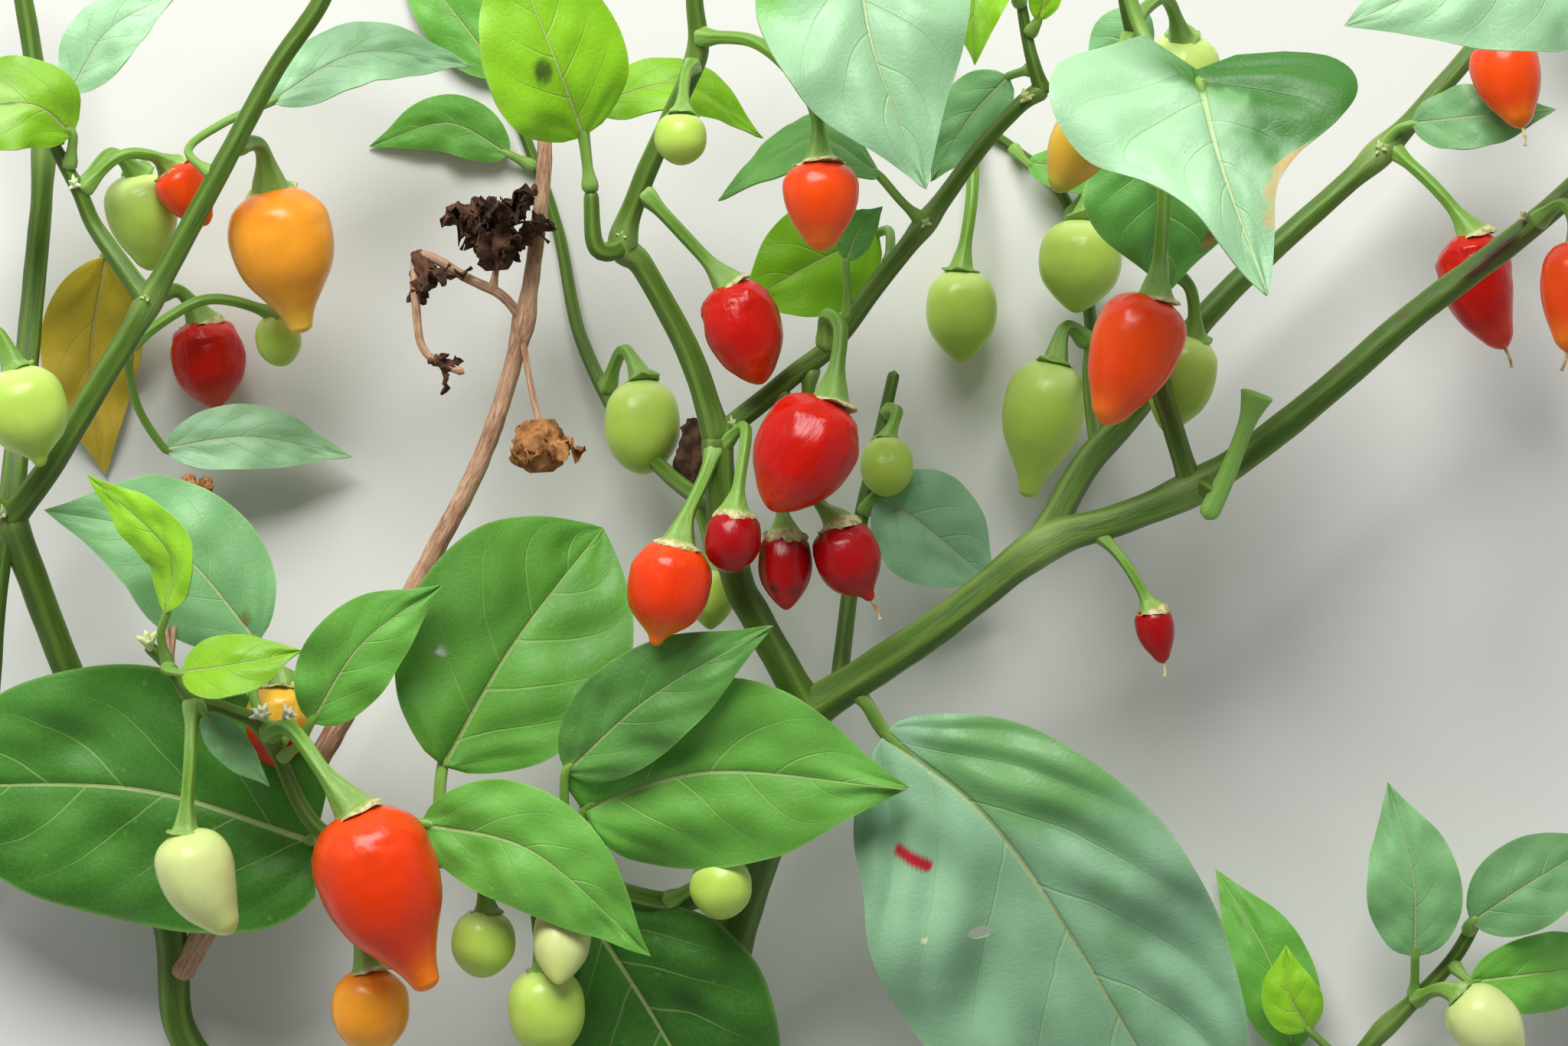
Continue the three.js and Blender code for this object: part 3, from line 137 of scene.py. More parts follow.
# Leaves: the limb that bears them (on, or else their node's), stops of the petiole, the blade's base,
# middle, tip and width, and the way it faces. Marks are (across, along, radius, tone, strength).
LEAVES = [
    dict(name="leaf_lower_left_large", look="deep", on="lower_left_twig", stalk=[(-58.5, -39.6, 31)],
         width=34, blunt=0.36, lobes=(1, 4), sides=(0.97, 1.05), base=(-60.5, -40.5, 28),
         middle=(-84, -33.8, 26), tip=(-118, -34, 22), face=(0.05, -0.1, 1)),
    dict(name="leaf_left_rear", look="cool", on="lower_left_twig", stalk=[(-66.5, -26.5, 36),
         (-67.8, -21, 36)], width=18, base=(-67, -15.2, 35), middle=(-79, -2.2, 37),
         tip=(-94.4, 1.7, 38.5), face=(0.1, 0.2, 1), marks=[(-0.3, 0.42, 0.35, "#E0E0C0"),
         (0.1, 0.1, 0.8, "#8A6A3A", 0.7)]),
    dict(name="leaf_left_small", look="fresh", on="lower_left_twig", stalk=[(-64.3, -29.8, 34.5),
         (-62, -28.4, 38)], width=11.8, base=(-60.4, -25.6, 40.5), middle=(-53.8, -15.4, 42),
         tip=(-43.5, -7.8, 41), face=(0.1, -0.1, 1)),
    dict(name="leaf_left_front_upper", look="lit", node="lower_left_twig", width=8,
         stalk=[(-78.5, -18.3, 43), (-79.5, -14.5, 46)], base=(-79, -11.5, 48),
         middle=(-78.8, -3.5, 50), tip=(-89, 6.2, 49), face=(-0.8, 0.2, 1)),
    dict(name="leaf_left_front_lower", look="lit", node="lower_left_twig", width=9,
         stalk=[(-78.5, -18.3, 43), (-78.5, -18.8, 46)], base=(-77, -19, 47.5), middle=(-70, -18, 50),
         tip=(-61.5, -16.3, 49), face=(0.1, 0.5, 1)),
    dict(name="leaf_node_small", look="cool", node="lower_left_twig", stalk=[(-75, -22.5, 42)], width=5,
         base=(-74, -24.2, 43.2), middle=(-70.6, -28.4, 43.4), tip=(-65.6, -33.6, 42),
         face=(0.3, 0.3, 1), tint=0.1),
    dict(name="leaf_centre_left", look="fresh", on="lower_left_twig", stalk=[(-44, -42.8, 31),
         (-44, -36, 33)], width=29, widest=0.5, draw=0, taper=2.4, base=(-43.5, -31, 33),
         middle=(-34.5, -15.5, 34), tip=(-23, -0.5, 29), face=(0.1, -0.1, 1), fold=0.3,
         marks=[(-0.55, 0.34, 0.7, "#D8D8D8", 0.8)], tint=0.12, pucker=0.8),
    dict(name="leaf_centre_upper", look="shade", on="lower_left_twig", stalk=[(-28, -44.8, 30),
         (-28, -38, 35)], width=13.5, base=(-28, -32, 38), middle=(-17, -22.2, 43),
         tip=(-1.4, -13.1, 45.5), face=(0.1, 0.1, 1), pucker=1.7, tint=0.25),
    dict(name="leaf_centre", look="fresh", on="lower_left_twig", stalk=[(-24, -45.5, 29),
         (-25.5, -41, 32.5)], width=25.5, blunt=0.42, lobes=(0, 2), base=(-25.5, -36.5, 35.5),
         middle=(-9, -31.8, 39.5), tip=(16, -34.1, 40.5), face=(0.1, -0.15, 1), tint=0.35, pucker=0.75),
    dict(name="leaf_centre_low", look="fresh", on="lower_left_twig", stalk=[(-52, -41, 31.5),
         (-50, -38.8, 34.5)], width=15.5, base=(-46.5, -38.3, 37.5), middle=(-32, -42, 41),
         tip=(-17, -55.3, 40), face=(-0.05, -0.1, 1)),
    dict(name="leaf_lower_dark", look="deep", on="lower_left_twig", stalk=[(-28, -44.8, 30),
         (-26.8, -47.5, 30)], width=31, base=(-25, -50, 29), middle=(-15.5, -65, 24), tip=(-4, -86, 19),
         face=(0, -0.2, 1)),
    dict(name="leaf_lower_right_large", look="sheen", on="right_leader", stalk=[(8.5, -20.5, 35),
         (10.5, -23, 35)], width=43, blunt=0.5, widest=0.42, sides=(1.14, 0.86), narrow=(0, 0.25),
         detail=2, tint=0.18, base=(12.8, -26.8, 34), middle=(30.5, -43.5, 34), tip=(59, -91, 20),
         # The sheen look paints a pale sheen; the first mark keeps the right lobe in the leaf's own green
         face=(-0.1, -0.1, 1), pucker=1.7, marks=[(-0.72, 0.18, 12, "#5E9440", 0.7),
         # The next four green marks are painted shade in the dents between the side veins
         (-0.4, 0.385, 2.4, "#5E9050", 0.35), (-0.32, 0.475, 3, "#5E9050", 0.35),
         (-0.1, 0.56, 2.2, "#5E9050", 0.35), (-0.65, 0.33, 4.4, "#5E9050", 0.35),
         *((0.6 - 0.008 * k, 0.13 + 0.004 * k, 0.9, "#B81E2E") for k in range(17)),
         (0.68, 0.3, 0.6, "#E0E0B0")], holes=[(9.6, 0.345, 1.45, 0.85, -0.62)]),
    dict(name="leaf_fork_rear", look="sheen", on="fork_twig", stalk=[(9.8, 1, 18.5)], width=15,
         base=(11.6, 3.5, 20.2), middle=(17.5, 0, 19.5), tip=(27, -8, 14), face=(0.1, 0, 1)),
    dict(name="leaf_top_dark", look="shade", on="right_shoot", stalk=[(18, 38.2, 44), (15, 41, 46)],
         width=10.5, base=(12.3, 44.6, 46.5), middle=(3.5, 49, 50), tip=(-8.6, 41.3, 46),
         face=(0.1, 0.9, 0.75)),
    dict(name="leaf_top_front", look="mint", on="left_shoot", stalk=[(-11.9, 72, 53.3), (-3, 80, 62)],
         width=26, base=(9, 81.5, 68), middle=(11, 62, 76), tip=(18.3, 42.7, 78), face=(0.1, 0.2, 1),
         marks=[(0.95, 0.3, 6, "#7DC832", 0.6), (0.95, 0.05, 7, "#7DC832", 0.7)]),
    dict(name="leaf_right_front", look="mint", on="mid_right_twig", stalk=[(43, 71, 61), (45.5, 63, 61),
         (50, 55, 66)], width=37, detail=1.5, lobes=(9, 4), base=(53, 56.5, 73), middle=(56, 45, 79),
         tip=(61.8, 29.2, 84), face=(0, 0.5, 1), outline=((0, 0), (0.03, 0.55), (0.08, 0.9), (0.2, 1),
         (0.33, 0.83), (0.45, 0.5), (0.58, 0.3), (0.75, 0.19), (0.9, 0.09), (1, 0)),
         # The first two green marks are painted shade on the blade's shaded part; the brown ones are its
         # dry edge
         marks=[(-0.75, 0.1, 12, "#306A12", 0.95), (-0.3, 0.02, 6, "#4E8E30", 0.7),
         (-0.95, 0.36, 2.2, "#C8A468", 0.7), (-0.95, 0.47, 2, "#C09458", 0.8),
         (-0.95, 0.58, 1.8, "#C8A468", 0.7), (-0.95, 0.69, 1.6, "#C8A468", 0.6)]),
    dict(name="leaf_right_top", look="mint", on="right_leader_tip", stalk=[(112, 56, 42),
         (111, 65, 56)], width=23, base=(107, 71, 68), middle=(90, 71, 76), tip=(71.5, 63.5, 77),
         face=(0, 0.2, 1)),
    dict(name="leaf_right_dark", look="shade", on="mid_right_twig", stalk=[(46.5, 54.7, 49.5),
         (47, 52, 46.5)], width=21, base=(47.6, 49, 45.4), middle=(48.6, 40, 44.6),
         tip=(49.2, 29.4, 43.4), face=(0.1, 0.1, 1), widest=0.34,
         marks=[(-0.75, 0.62, 1.3, "#7A4A26", 0.9), (-0.8, 0.7, 0.9, "#9A6A3A", 0.9)], pucker=1.8,
         tint=0.8),
    dict(name="leaf_right_back", look="cool", on="back_bough", stalk=[(76, 47.2, 20), (78, 50, 22)],
         width=9, base=(80, 51, 23), middle=(89, 52, 27), tip=(98.5, 52.8, 25), face=(0, 0.3, 1)),
    dict(name="leaf_left_top", look="mint", on="left_bough_upper", stalk=[(-72.6, 44.4, 40),
         (-76, 47.5, 38), (-71.5, 51, 35)], width=9, base=(-65.5, 53.8, 34), middle=(-54, 60, 32),
         tip=(-39.5, 58.4, 28), face=(0, 0.3, 1), tint=0.9),
    dict(name="leaf_behind_upper", look="lit", on="right_shoot", stalk=[(13.5, 32.5, 43),
         (13.5, 37, 37)], width=15, base=(12, 37, 31), middle=(3.5, 33, 27), tip=(-6, 27.5, 26),
         face=(0.1, 0, 1)),
    dict(name="leaf_crown_lit", look="lit", node="left_shoot_side", stalk=[(-24.6, 42, 48)], width=19,
         base=(-25.4, 49, 50), middle=(-29.5, 60, 56), tip=(-36, 76, 57), face=(0.3, 0.1, 1),
         marks=[(-0.22, 0.375, 1.6, "#3A4A1E", 0.9)]),
    dict(name="leaf_crown_arched", look="lit", node="left_shoot_side", stalk=[(-24.6, 42, 48)], width=8,
         base=(-25.5, 53, 41), middle=(-13, 56, 41), tip=(-2.5, 49.2, 37), face=(0, 0.5, 1)),
    dict(name="leaf_yellow", look="yellow", node="left_back_twig", stalk=[(-81, 28, 15),
         (-83.5, 32.5, 14)], width=13.5, base=(-86.5, 34, 13), middle=(-88.5, 20, 9), tip=(-86.5, 6, 6),
         face=(0.2, 0, 1)),
    dict(name="leaf_left_low", look="mint", node="left_back_twig", stalk=[(-84, 22, 22),
         (-82.5, 15, 18)], width=9, base=(-79, 9.5, 15), middle=(-68, 11, 14), tip=(-55, 8.5, 10),
         face=(0, 0.2, 1)),
    dict(name="leaf_left_upper_a", look="lit", node="left_upper_twig", stalk=[(-91, 45, 37.5)],
         width=13, base=(-90.5, 49.5, 40), middle=(-97, 53.5, 43), tip=(-112, 51, 38), face=(0, 0.3, 1),
         tint=0.15, marks=[(0, 0.55, 6, "#A8CC74", 0.7)]),
    dict(name="leaf_left_upper_b", look="mint", node="left_upper_twig", stalk=[(-93, 48, 38)], width=9,
         base=(-91, 55, 38), middle=(-86, 63, 38), tip=(-77, 68, 36), face=(0, 0.2, 1), tint=0.95),
    dict(name="leaf_back_small_a", look="fresh", node="back_left_shoot", stalk=[(-31, 45, 5)], width=8,
         base=(-35, 47, 7), middle=(-43, 51, 7), tip=(-53, 48, 5.4), face=(0, 0, 1)),
    dict(name="leaf_back_small_b", look="fresh", node="back_left_shoot", stalk=[(-34, 52, 5)], width=10,
         base=(-36, 57, 7), middle=(-42, 65, 7), tip=(-50, 75, 5.4), face=(0, 0, 1)),
    dict(name="leaf_back_small_c", look="fresh", node="back_twig", stalk=[(29, 48, 6)], width=6,
         base=(31, 46, 9), middle=(37, 44.8, 11), tip=(43, 41.5, 10), face=(0, 0.3, 1)),
    dict(name="leaf_back_small_d", look="deep", node="back_twig", stalk=[(22, 52, 7)], width=10,
         base=(19, 56, 9), middle=(13, 63, 8), tip=(5, 69, 5.4), face=(0, 0, 1)),
    dict(name="leaf_tip_lit", look="lit", node="right_shoot_tip", stalk=[(30.5, 66, 48)], width=8,
         base=(27.5, 72, 55), middle=(24.5, 67, 60), tip=(24.4, 58.4, 61), face=(0.2, 0.2, 1)),
    dict(name="leaf_tip_pale", look="cool", node="right_shoot_tip", stalk=[(32, 58, 46.5)], width=9,
         base=(28.6, 57, 41), middle=(23.5, 51.5, 38.5), tip=(18.6, 43.5, 37), face=(-0.1, 0.1, 1)),
    dict(name="leaf_tip_young_a", look="lit", node="right_shoot_tip", stalk=[(31, 62, 47)], width=4.5,
         base=(32.5, 64, 49), middle=(33.5, 69, 51), tip=(32, 75, 51), face=(0.2, 0, 1)),
    dict(name="leaf_tip_young_b", look="lit", node="right_shoot_tip", stalk=[(30, 68, 48)], width=4,
         base=(28.8, 70.5, 49), middle=(26.5, 76, 50), tip=(25.5, 81, 48), face=(-0.1, 0, 1)),
    dict(name="leaf_mid_pale", look="cool", node="mid_right_twig", stalk=[(46, 57.5, 52.5)], width=9,
         base=(47.2, 61, 49.5), middle=(43.8, 61.5, 49.5), tip=(38.8, 57, 47), face=(0, 0.2, 1)),
    dict(name="leaf_shoot_a", look="cool", node="lower_right_shoot", stalk=[(80, -60.5, 14.5)],
         width=12.5, base=(80.5, -55.5, 19), middle=(80.2, -45, 23), tip=(77, -33, 21),
         face=(-0.1, -0.2, 1)),
    dict(name="leaf_shoot_b", look="cool", node="lower_right_shoot", stalk=[(87, -52, 17)], width=12,
         base=(87.5, -51, 20), middle=(95, -46, 22), tip=(105, -40, 16), face=(0.1, 0.2, 1)),
    dict(name="leaf_shoot_c", look="fresh", node="lower_right_shoot", stalk=[(85, -56, 16)], width=11,
         base=(87.5, -58.5, 19), middle=(96, -57.5, 18), tip=(108, -56, 6), face=(0.1, -0.1, 1)),
    dict(name="leaf_shoot_d", look="fresh", node="lower_right_shoot", stalk=[(66, -74, 9)], width=11,
         base=(65, -67.5, 10), middle=(62, -56, 12), tip=(55, -44, 7), face=(0.1, 0, 1)),
    dict(name="leaf_shoot_e", look="lit", node="lower_right_shoot", stalk=[(72, -69, 11)], width=8,
         base=(67, -64.8, 15), middle=(64.5, -60, 17), tip=(64, -53.8, 17), face=(-0.1, 0, 1)),
    dict(name="leaf_left_end_a", look="fresh", node="left_bough_upper", stalk=[(-56.5, 74, 42)],
         width=8, base=(-53.5, 76, 43), middle=(-47, 77, 45), tip=(-37, 72.5, 43), face=(0.1, 0.3, 1)),
    dict(name="leaf_left_end_b", look="cool", node="left_bough_upper", stalk=[(-57.5, 70.5, 42)],
         width=9, base=(-60, 74, 41), middle=(-66, 78, 40), tip=(-76, 79, 37), face=(-0.1, 0.2, 1)),
    dict(name="leaf_shoot_end_a", look="fresh", node="left_shoot", stalk=[(-12, 73, 53.6)], width=8,
         base=(-9.5, 76, 52), middle=(-5, 82, 50), tip=(3, 86, 46), face=(0.1, 0, 1)),
    dict(name="leaf_shoot_end_b", look="fresh", node="left_shoot", stalk=[(-12, 74.5, 54)], width=9,
         base=(-14.5, 77.5, 55), middle=(-18, 83, 56), tip=(-24, 90, 54), face=(-0.1, 0, 1)),
    dict(name="leaf_back_end_a", look="deep", node="back_bough", stalk=[(94.5, 69, 14.5)], width=9,
         base=(97, 69, 15), middle=(104, 66.5, 15), tip=(113, 61, 8), face=(0.1, 0.1, 1)),
    dict(name="leaf_back_end_b", look="fresh", node="back_bough", stalk=[(94, 68.5, 14.6)], width=9,
         base=(93.5, 72, 14), middle=(91, 79, 13), tip=(86, 87, 7), face=(0, 0.1, 1)),
    dict(name="leaf_beside_front_pod", look="shade", node="right_shoot", stalk=[(7.6, 25.6, 42.3)],
         width=4.5, base=(7.9, 33.4, 45), middle=(9.6, 37.4, 46), tip=(12.6, 40.4, 43.5),
         face=(0.2, 0.2, 1)),
    dict(name="leaf_end_a", look="fresh", node="right_leader_tip", stalk=[(109, 51, 41.5)], width=11,
         base=(112, 48.5, 43), middle=(117, 42, 44), tip=(119, 33, 42), face=(0.2, 0, 1)),
    dict(name="leaf_end_b", look="fresh", node="right_leader_tip", stalk=[(111, 54, 42)], width=9,
         base=(114, 56.5, 43), middle=(117, 63, 45), tip=(117, 72, 44), face=(0.2, 0, 1)),
]

# Pods: the limb that bears them, stops of the pedicel, neck and tip of the pod, and its greatest width
PODS = [
    dict(name="pod_red_large", look="scarlet", form="beak", on="lower_left_twig", width=15.5, bow=0.6,
         stalk=[(-66, -26.8, 36), (-62.8, -26.4, 42.5), (-58.5, -32, 46.5)], neck=(-54.8, -36.6, 47),
         tip=(-45.2, -59.5, 46)),
    dict(name="pod_pale_left", look="pale", form="cone", on="lower_left_twig", width=9.9, bow=1,
         stalk=[(-75.5, -22.3, 42), (-75.8, -30, 45)], neck=(-76.4, -39.2, 45), tip=(-70.4, -52.4, 44)),
    dict(name="pod_orange_low", look="orange", form="egg", on="lower_left_twig", width=10,
         stalk=[(-58, -39.6, 32), (-56, -47, 34)], neck=(-53, -56.8, 36), tip=(-52.5, -68.5, 36)),
    dict(name="pod_green_low_a", look="green", form="round", on="lower_left_twig", width=8.3,
         stalk=[(-40, -43.3, 31), (-38.5, -46, 31.5)], neck=(-38, -49.3, 31.5), tip=(-38.8, -58, 31.5)),
    dict(name="pod_green_low_b", look="green", form="egg", on="lower_left_twig", width=10,
         stalk=[(-31.5, -44.4, 30), (-31.5, -50, 32)], neck=(-30.6, -56.6, 32), tip=(-30, -69, 31)),
    dict(name="pod_pale_low", look="pale", form="egg", node="lower_left_twig", width=7.5,
         stalk=[(-30, -44.6, 30.5)], neck=(-28, -48.2, 33), tip=(-28.8, -58.8, 38.6)),
    dict(name="pod_green_centre", look="green", form="round", on="lower_left_twig", width=8,
         stalk=[(-15, -48.3, 27), (-11, -46, 32.5)], neck=(-7.8, -42.4, 34), tip=(-8.2, -50.6, 34)),
    dict(name="pod_red_left_cluster", look="scarlet", form="nipple", on="left_leader", width=10.5,
         stalk=[(-8.4, 10, 40), (-10.2, 5.7, 43), (-12.4, 0.9, 46)], neck=(-13.4, -2.4, 47),
         tip=(-16.5, -15.7, 47)),
    dict(name="pod_dark_small", look="dark", form="round", on="left_leader", width=7.2,
         stalk=[(-8.3, 9.5, 40), (-5, 12.2, 43), (-5.6, 6, 46)], neck=(-6.3, 1.8, 47),
         tip=(-7, -6.4, 47), spots=[(-7, -6.3, 47.6, 0.9, "#5A2A18")]),
    dict(name="pod_dark_middle", look="dark", form="egg", on="right_shoot", width=6.8,
         stalk=[(-0.5, 17.6, 41), (-0.8, 8, 38.5)], neck=(0, -0.8, 42.5), tip=(0.3, -11.1, 43),
         spots=[(-1.6, -8.6, 45.4, 1.1, "#5A1A10"), (1.4, -8.9, 45.4, 0.8, "#6A2414")]),
    dict(name="pod_dark_right", look="dark", form="nipple", style=2.6, on="right_shoot", width=8.4,
         bow=0.6, stalk=[(3.4, 20.5, 41.5), (2.6, 10, 38), (4, 3.4, 41)], neck=(6.7, 0.1, 43.5),
         tip=(11.2, -9.9, 44)),
    dict(name="pod_red_centre", look="red", form="plump", on="right_shoot", width=12.6, bow=-0.2,
         stalk=[(5.4, 22.3, 42), (5.4, 26.3, 45), (7.2, 24.4, 48)], neck=(5.9, 15.6, 50),
         tip=(-1.7, 1.6, 51)),
    dict(name="pod_red_upper", look="red", form="plump", on="left_shoot", width=9.8,
         stalk=[(-17.8, 42.5, 45.7), (-13.5, 37.5, 46)], neck=(-7.2, 30.6, 46), tip=(-2.8, 17.7, 46.5)),
    dict(name="pod_orange_front", look="flame", form="cone", on="left_shoot", width=9.2,
         stalk=[(-11.3, 62, 51), (-3, 61, 60), (3.5, 54, 69)], neck=(4.6, 46.2, 71),
         tip=(4.8, 34.6, 71), slot="pod_orange"),
    dict(name="pod_red_right", look="flame", form="cone", on="mid_right_twig", width=11.5,
         stalk=[(46.6, 54, 49.5), (48.3, 42, 50.5)], neck=(47.3, 28.9, 51), tip=(40.8, 12.5, 51)),
    dict(name="pod_small_right", look="dark", form="cone", style=1.6, on="right_leader", width=5,
         stalk=[(39.5, -0.6, 40), (43.6, -5.2, 42)], neck=(46.7, -10.6, 42), tip=(48.4, -17.9, 42)),
    dict(name="pod_red_far_right", look="red", form="cone", style=2.6, on="back_bough", width=9.6,
         bow=1.2, stalk=[(77, 48, 20), (83.2, 42.6, 23)], neck=(87.6, 37, 24), tip=(92, 22.2, 24)),
    dict(name="pod_red_edge", look="flame", form="cone", style=2.4, on="right_leader", width=9,
         stalk=[(95.5, 38.5, 41), (99.5, 40.6, 45)], neck=(101.7, 35.8, 48), tip=(99.8, 21.8, 49)),
    dict(name="pod_orange_top_right", look="flame", form="cone", style=2.4, on="back_bough", width=9,
         stalk=[(91.5, 65, 16.5), (91.4, 66.5, 24)], neck=(91, 61.8, 30), tip=(94.2, 50.4, 33),
         slot="pod_orange"),
    dict(name="pod_green_round", look="green", form="egg", on="back_twig", width=11,
         stalk=[(37, 39, 6.5), (38.8, 42, 12)], neck=(38.2, 38.6, 16), tip=(37.2, 26.8, 17)),
    dict(name="pod_green_right", look="green", form="beak", on="back_twig", width=11,
         stalk=[(39, 23, 12.5), (36, 25, 14)], neck=(34.6, 20.6, 15), tip=(31, 3.2, 14)),
    dict(name="pod_green_back", look="green", form="egg", node="back_twig", width=9.5,
         stalk=[(24, 50.8, 7), (24, 42, 11)], neck=(22.6, 32.4, 12), tip=(22.6, 20.4, 11)),
    dict(name="pod_green_left", look="green", form="nipple", on="left_bough_lower", width=10.5,
         stalk=[(-98.8, 0.7, 32), (-105, 8, 39), (-106, 20, 45), (-101, 24.5, 47)],
         neck=(-98.2, 19.8, 46.5), tip=(-94.7, 7.2, 46.5)),
    dict(name="pod_orange_left", look="orange", form="beak", on="left_bough_upper", width=13.5,
         stalk=[(-70, 48.5, 40), (-66.8, 48, 35)], neck=(-65.5, 42.6, 31), tip=(-61.5, 24.2, 29)),
    dict(name="pod_green_fork", look="green", form="round", node="fork_twig", width=7,
         stalk=[(13, 14, 15), (14.4, 14, 18)], neck=(13.2, 10.6, 20.5), tip=(13, 3.6, 24)),
    dict(name="pod_green_behind_red", look="green", form="egg", node="mid_right_twig", width=8.5,
         stalk=[(48, 33, 42), (51.8, 30, 39)], neck=(52.4, 23.8, 36), tip=(48.6, 11.6, 35)),
    dict(name="pod_green_top_right", look="green", form="egg", node="mid_right_twig", width=10,
         stalk=[(44.2, 64, 57.5), (48.5, 67, 50)], neck=(50.6, 62, 43), tip=(50.8, 50.4, 36)),
    dict(name="pod_yellow_right", look="turning", form="cone", node="mid_right_twig", width=7.8,
         stalk=[(44.8, 62, 56.5), (41.5, 57, 60)], neck=(39.6, 52, 61.5), tip=(34.6, 42.2, 61)),
    dict(name="pod_green_far_left", look="green", form="cone", node="left_upper_twig", width=9.5,
         stalk=[(-89.8, 42, 37), (-86, 47, 33)], neck=(-82.6, 44.6, 28), tip=(-80.6, 32.2, 25)),
    dict(name="pod_orange_far_left", look="flame", form="cone", node="left_upper_twig", width=7,
         stalk=[(-89.8, 42, 37), (-85, 46.6, 37), (-81, 46.9, 35)], neck=(-78.4, 45.4, 32),
         tip=(-73.5, 38, 31)),
    dict(name="pod_green_left_small", look="green", form="round", node="left_back_twig", width=6,
         stalk=[(-84, 22, 22), (-74, 28.4, 22)], neck=(-65.2, 26.6, 20), tip=(-63.8, 20, 19)),
    dict(name="pod_red_back_left", look="red", form="egg", node="left_back_twig", width=10,
         stalk=[(-80.5, 29, 13.5), (-77, 29.5, 12.5)], neck=(-74.4, 26, 11.5), tip=(-72.4, 14.6, 10.5)),
    dict(name="pod_red_behind_stalk", look="red", form="egg", node="lower_left_twig", width=8.6,
         stalk=[(-65, -28.6, 35), (-63, -25, 32)], neck=(-64, -20.4, 29.5), tip=(-65, -31.6, 28.5),
         flush=[(0.1, 1, 0.2, -0.35, "#E6B23C")]),
    dict(name="pod_green_shoot", look="pale", form="egg", node="lower_right_shoot", width=9,
         stalk=[(80, -60.5, 14.5), (83.5, -59.5, 20)], neck=(85.8, -60, 22), tip=(94, -68.5, 23)),
    dict(name="pod_green_leader", look="green", form="egg", node="back_left_shoot", width=6.4,
         stalk=[(-11, 3.9, 32), (-10, -1, 31)], neck=(-9.2, -5.4, 30), tip=(-9.4, -13.6, 29)),
    dict(name="pod_green_behind_leader", look="green", form="round", node="back_left_shoot", width=10,
         stalk=[(-22.5, 17, 10.5), (-20.5, 22, 15)], neck=(-18.2, 18.4, 19), tip=(-18, 6.2, 19)),
    dict(name="pod_green_on_shoot", look="green", form="round", node="left_shoot", width=6.5,
         stalk=[(-11.4, 58.5, 49.8), (-12.6, 57, 56)], neck=(-13, 52.4, 59), tip=(-13.2, 45.6, 59)),
]

# The places of the dried pieces' materials
DARK, PALE, BARK = range(3)

# What dried on: the limb, the stalk's stops, neck and tip, petals, width, and tone
DRIED = [
    dict(on="dead_twig", stalk=[(-33.4, 24.6, 25), (-32.4, 18, 27.5)], neck=(-31.2, 12.4, 28),
         tip=(-30.8, 5.4, 28), petals=9, width=6, tone=PALE),
    dict(on="dead_side_twig", stalk=[(-37.2, 29.6, 27.3)], neck=(-36.6, 33, 29),
         tip=(-37.4, 44.5, 29.5), petals=26, width=6.6, tone=DARK),
    dict(neck=(-46.6, 34, 29), tip=(-44, 27, 30), petals=10, width=3.4, tone=DARK),
    dict(neck=(-44.6, 20.8, 30), tip=(-40, 19, 30), petals=3, width=2.2, tone=DARK),
    dict(node="back_left_shoot", stalk=[(-12.6, 4.6, 29)], neck=(-11.6, 4.4, 24), tip=(-10.6, 19, 20),
         petals=0, width=6.4, tone=DARK),
    dict(node="lower_left_twig", stalk=[(-78, -18, 42), (-79, -8, 31), (-76.6, 0, 30)],
         neck=(-75.9, 4.6, 30), tip=(-75.8, 6.6, 30), petals=5, width=1.7, tone=PALE),
    dict(node="lower_left_twig", stalk=[(-78, -18, 42), (-77, -8, 31), (-74.2, 0, 30)],
         neck=(-73.8, 4.2, 30), tip=(-73.5, 6.2, 30), petals=5, width=1.6, tone=PALE),
]

# Buds and small scales at nodes: their place, the way they point, how many, their length and their tone
BUDS = [
    dict(node="lower_left_twig", at=(-66.4, -24.8, 38.8), way=(-0.4, 0.9, 0.7), count=9, length=2.2,
         tone="#ECE8D0"),
    dict(node="lower_left_twig", at=(-63.6, -24.6, 40.4), way=(0.8, 0.8, 0.6), count=6, length=1.9,
         tone="#ECE8D0"),
    dict(node="lower_left_twig", at=(-80.9, -15.8, 44.6), way=(-0.3, 1, 0.4), count=7, length=2.6,
         tone="#D8DEA0"),
    dict(node="left_upper_twig", at=(-90.6, 43, 38), way=(0.3, 0.6, 1), count=5, length=1.8,
         tone="#DCE6BC"),
    dict(node="right_leader", at=(94.6, 38.8, 42.2), way=(-0.6, 0.9, 0.5), count=3, length=1.6,
         tone="#C8BC98"),
    dict(node="left_shoot", at=(-20.6, 36.6, 45.4), way=(-0.3, 0.4, 1), count=4, length=1.4,
         tone="#C4CA8C"),
    dict(node="right_shoot", at=(18, 38.2, 45), way=(0.2, 0.5, 1), count=5, length=1.5, tone="#CCD69C"),
    dict(node="right_shoot", at=(30.6, 54, 47), way=(0.2, 0.6, 1), count=6, length=1.8, tone="#C6D088"),
    dict(node="back_bough", at=(76, 47.6, 21.4), way=(0, 0.5, 1), count=5, length=1.7, tone="#C2CC94"),
    dict(node="left_bough_lower", at=(-99.4, 1.2, 34), way=(-0.5, 0.2, 1), count=5, length=1.7,
         tone="#D4DAAC"),
    dict(node="left_leader", at=(-6.6, 12.4, 41.6), way=(0.2, 0.6, 1), count=4, length=1.6,
         tone="#B8C880"),
    dict(node="left_bough_upper", at=(-81.2, 28.6, 39.6), way=(-0.6, 0.3, 1), count=4, length=1.4,
         tone="#B4C67C"),
]

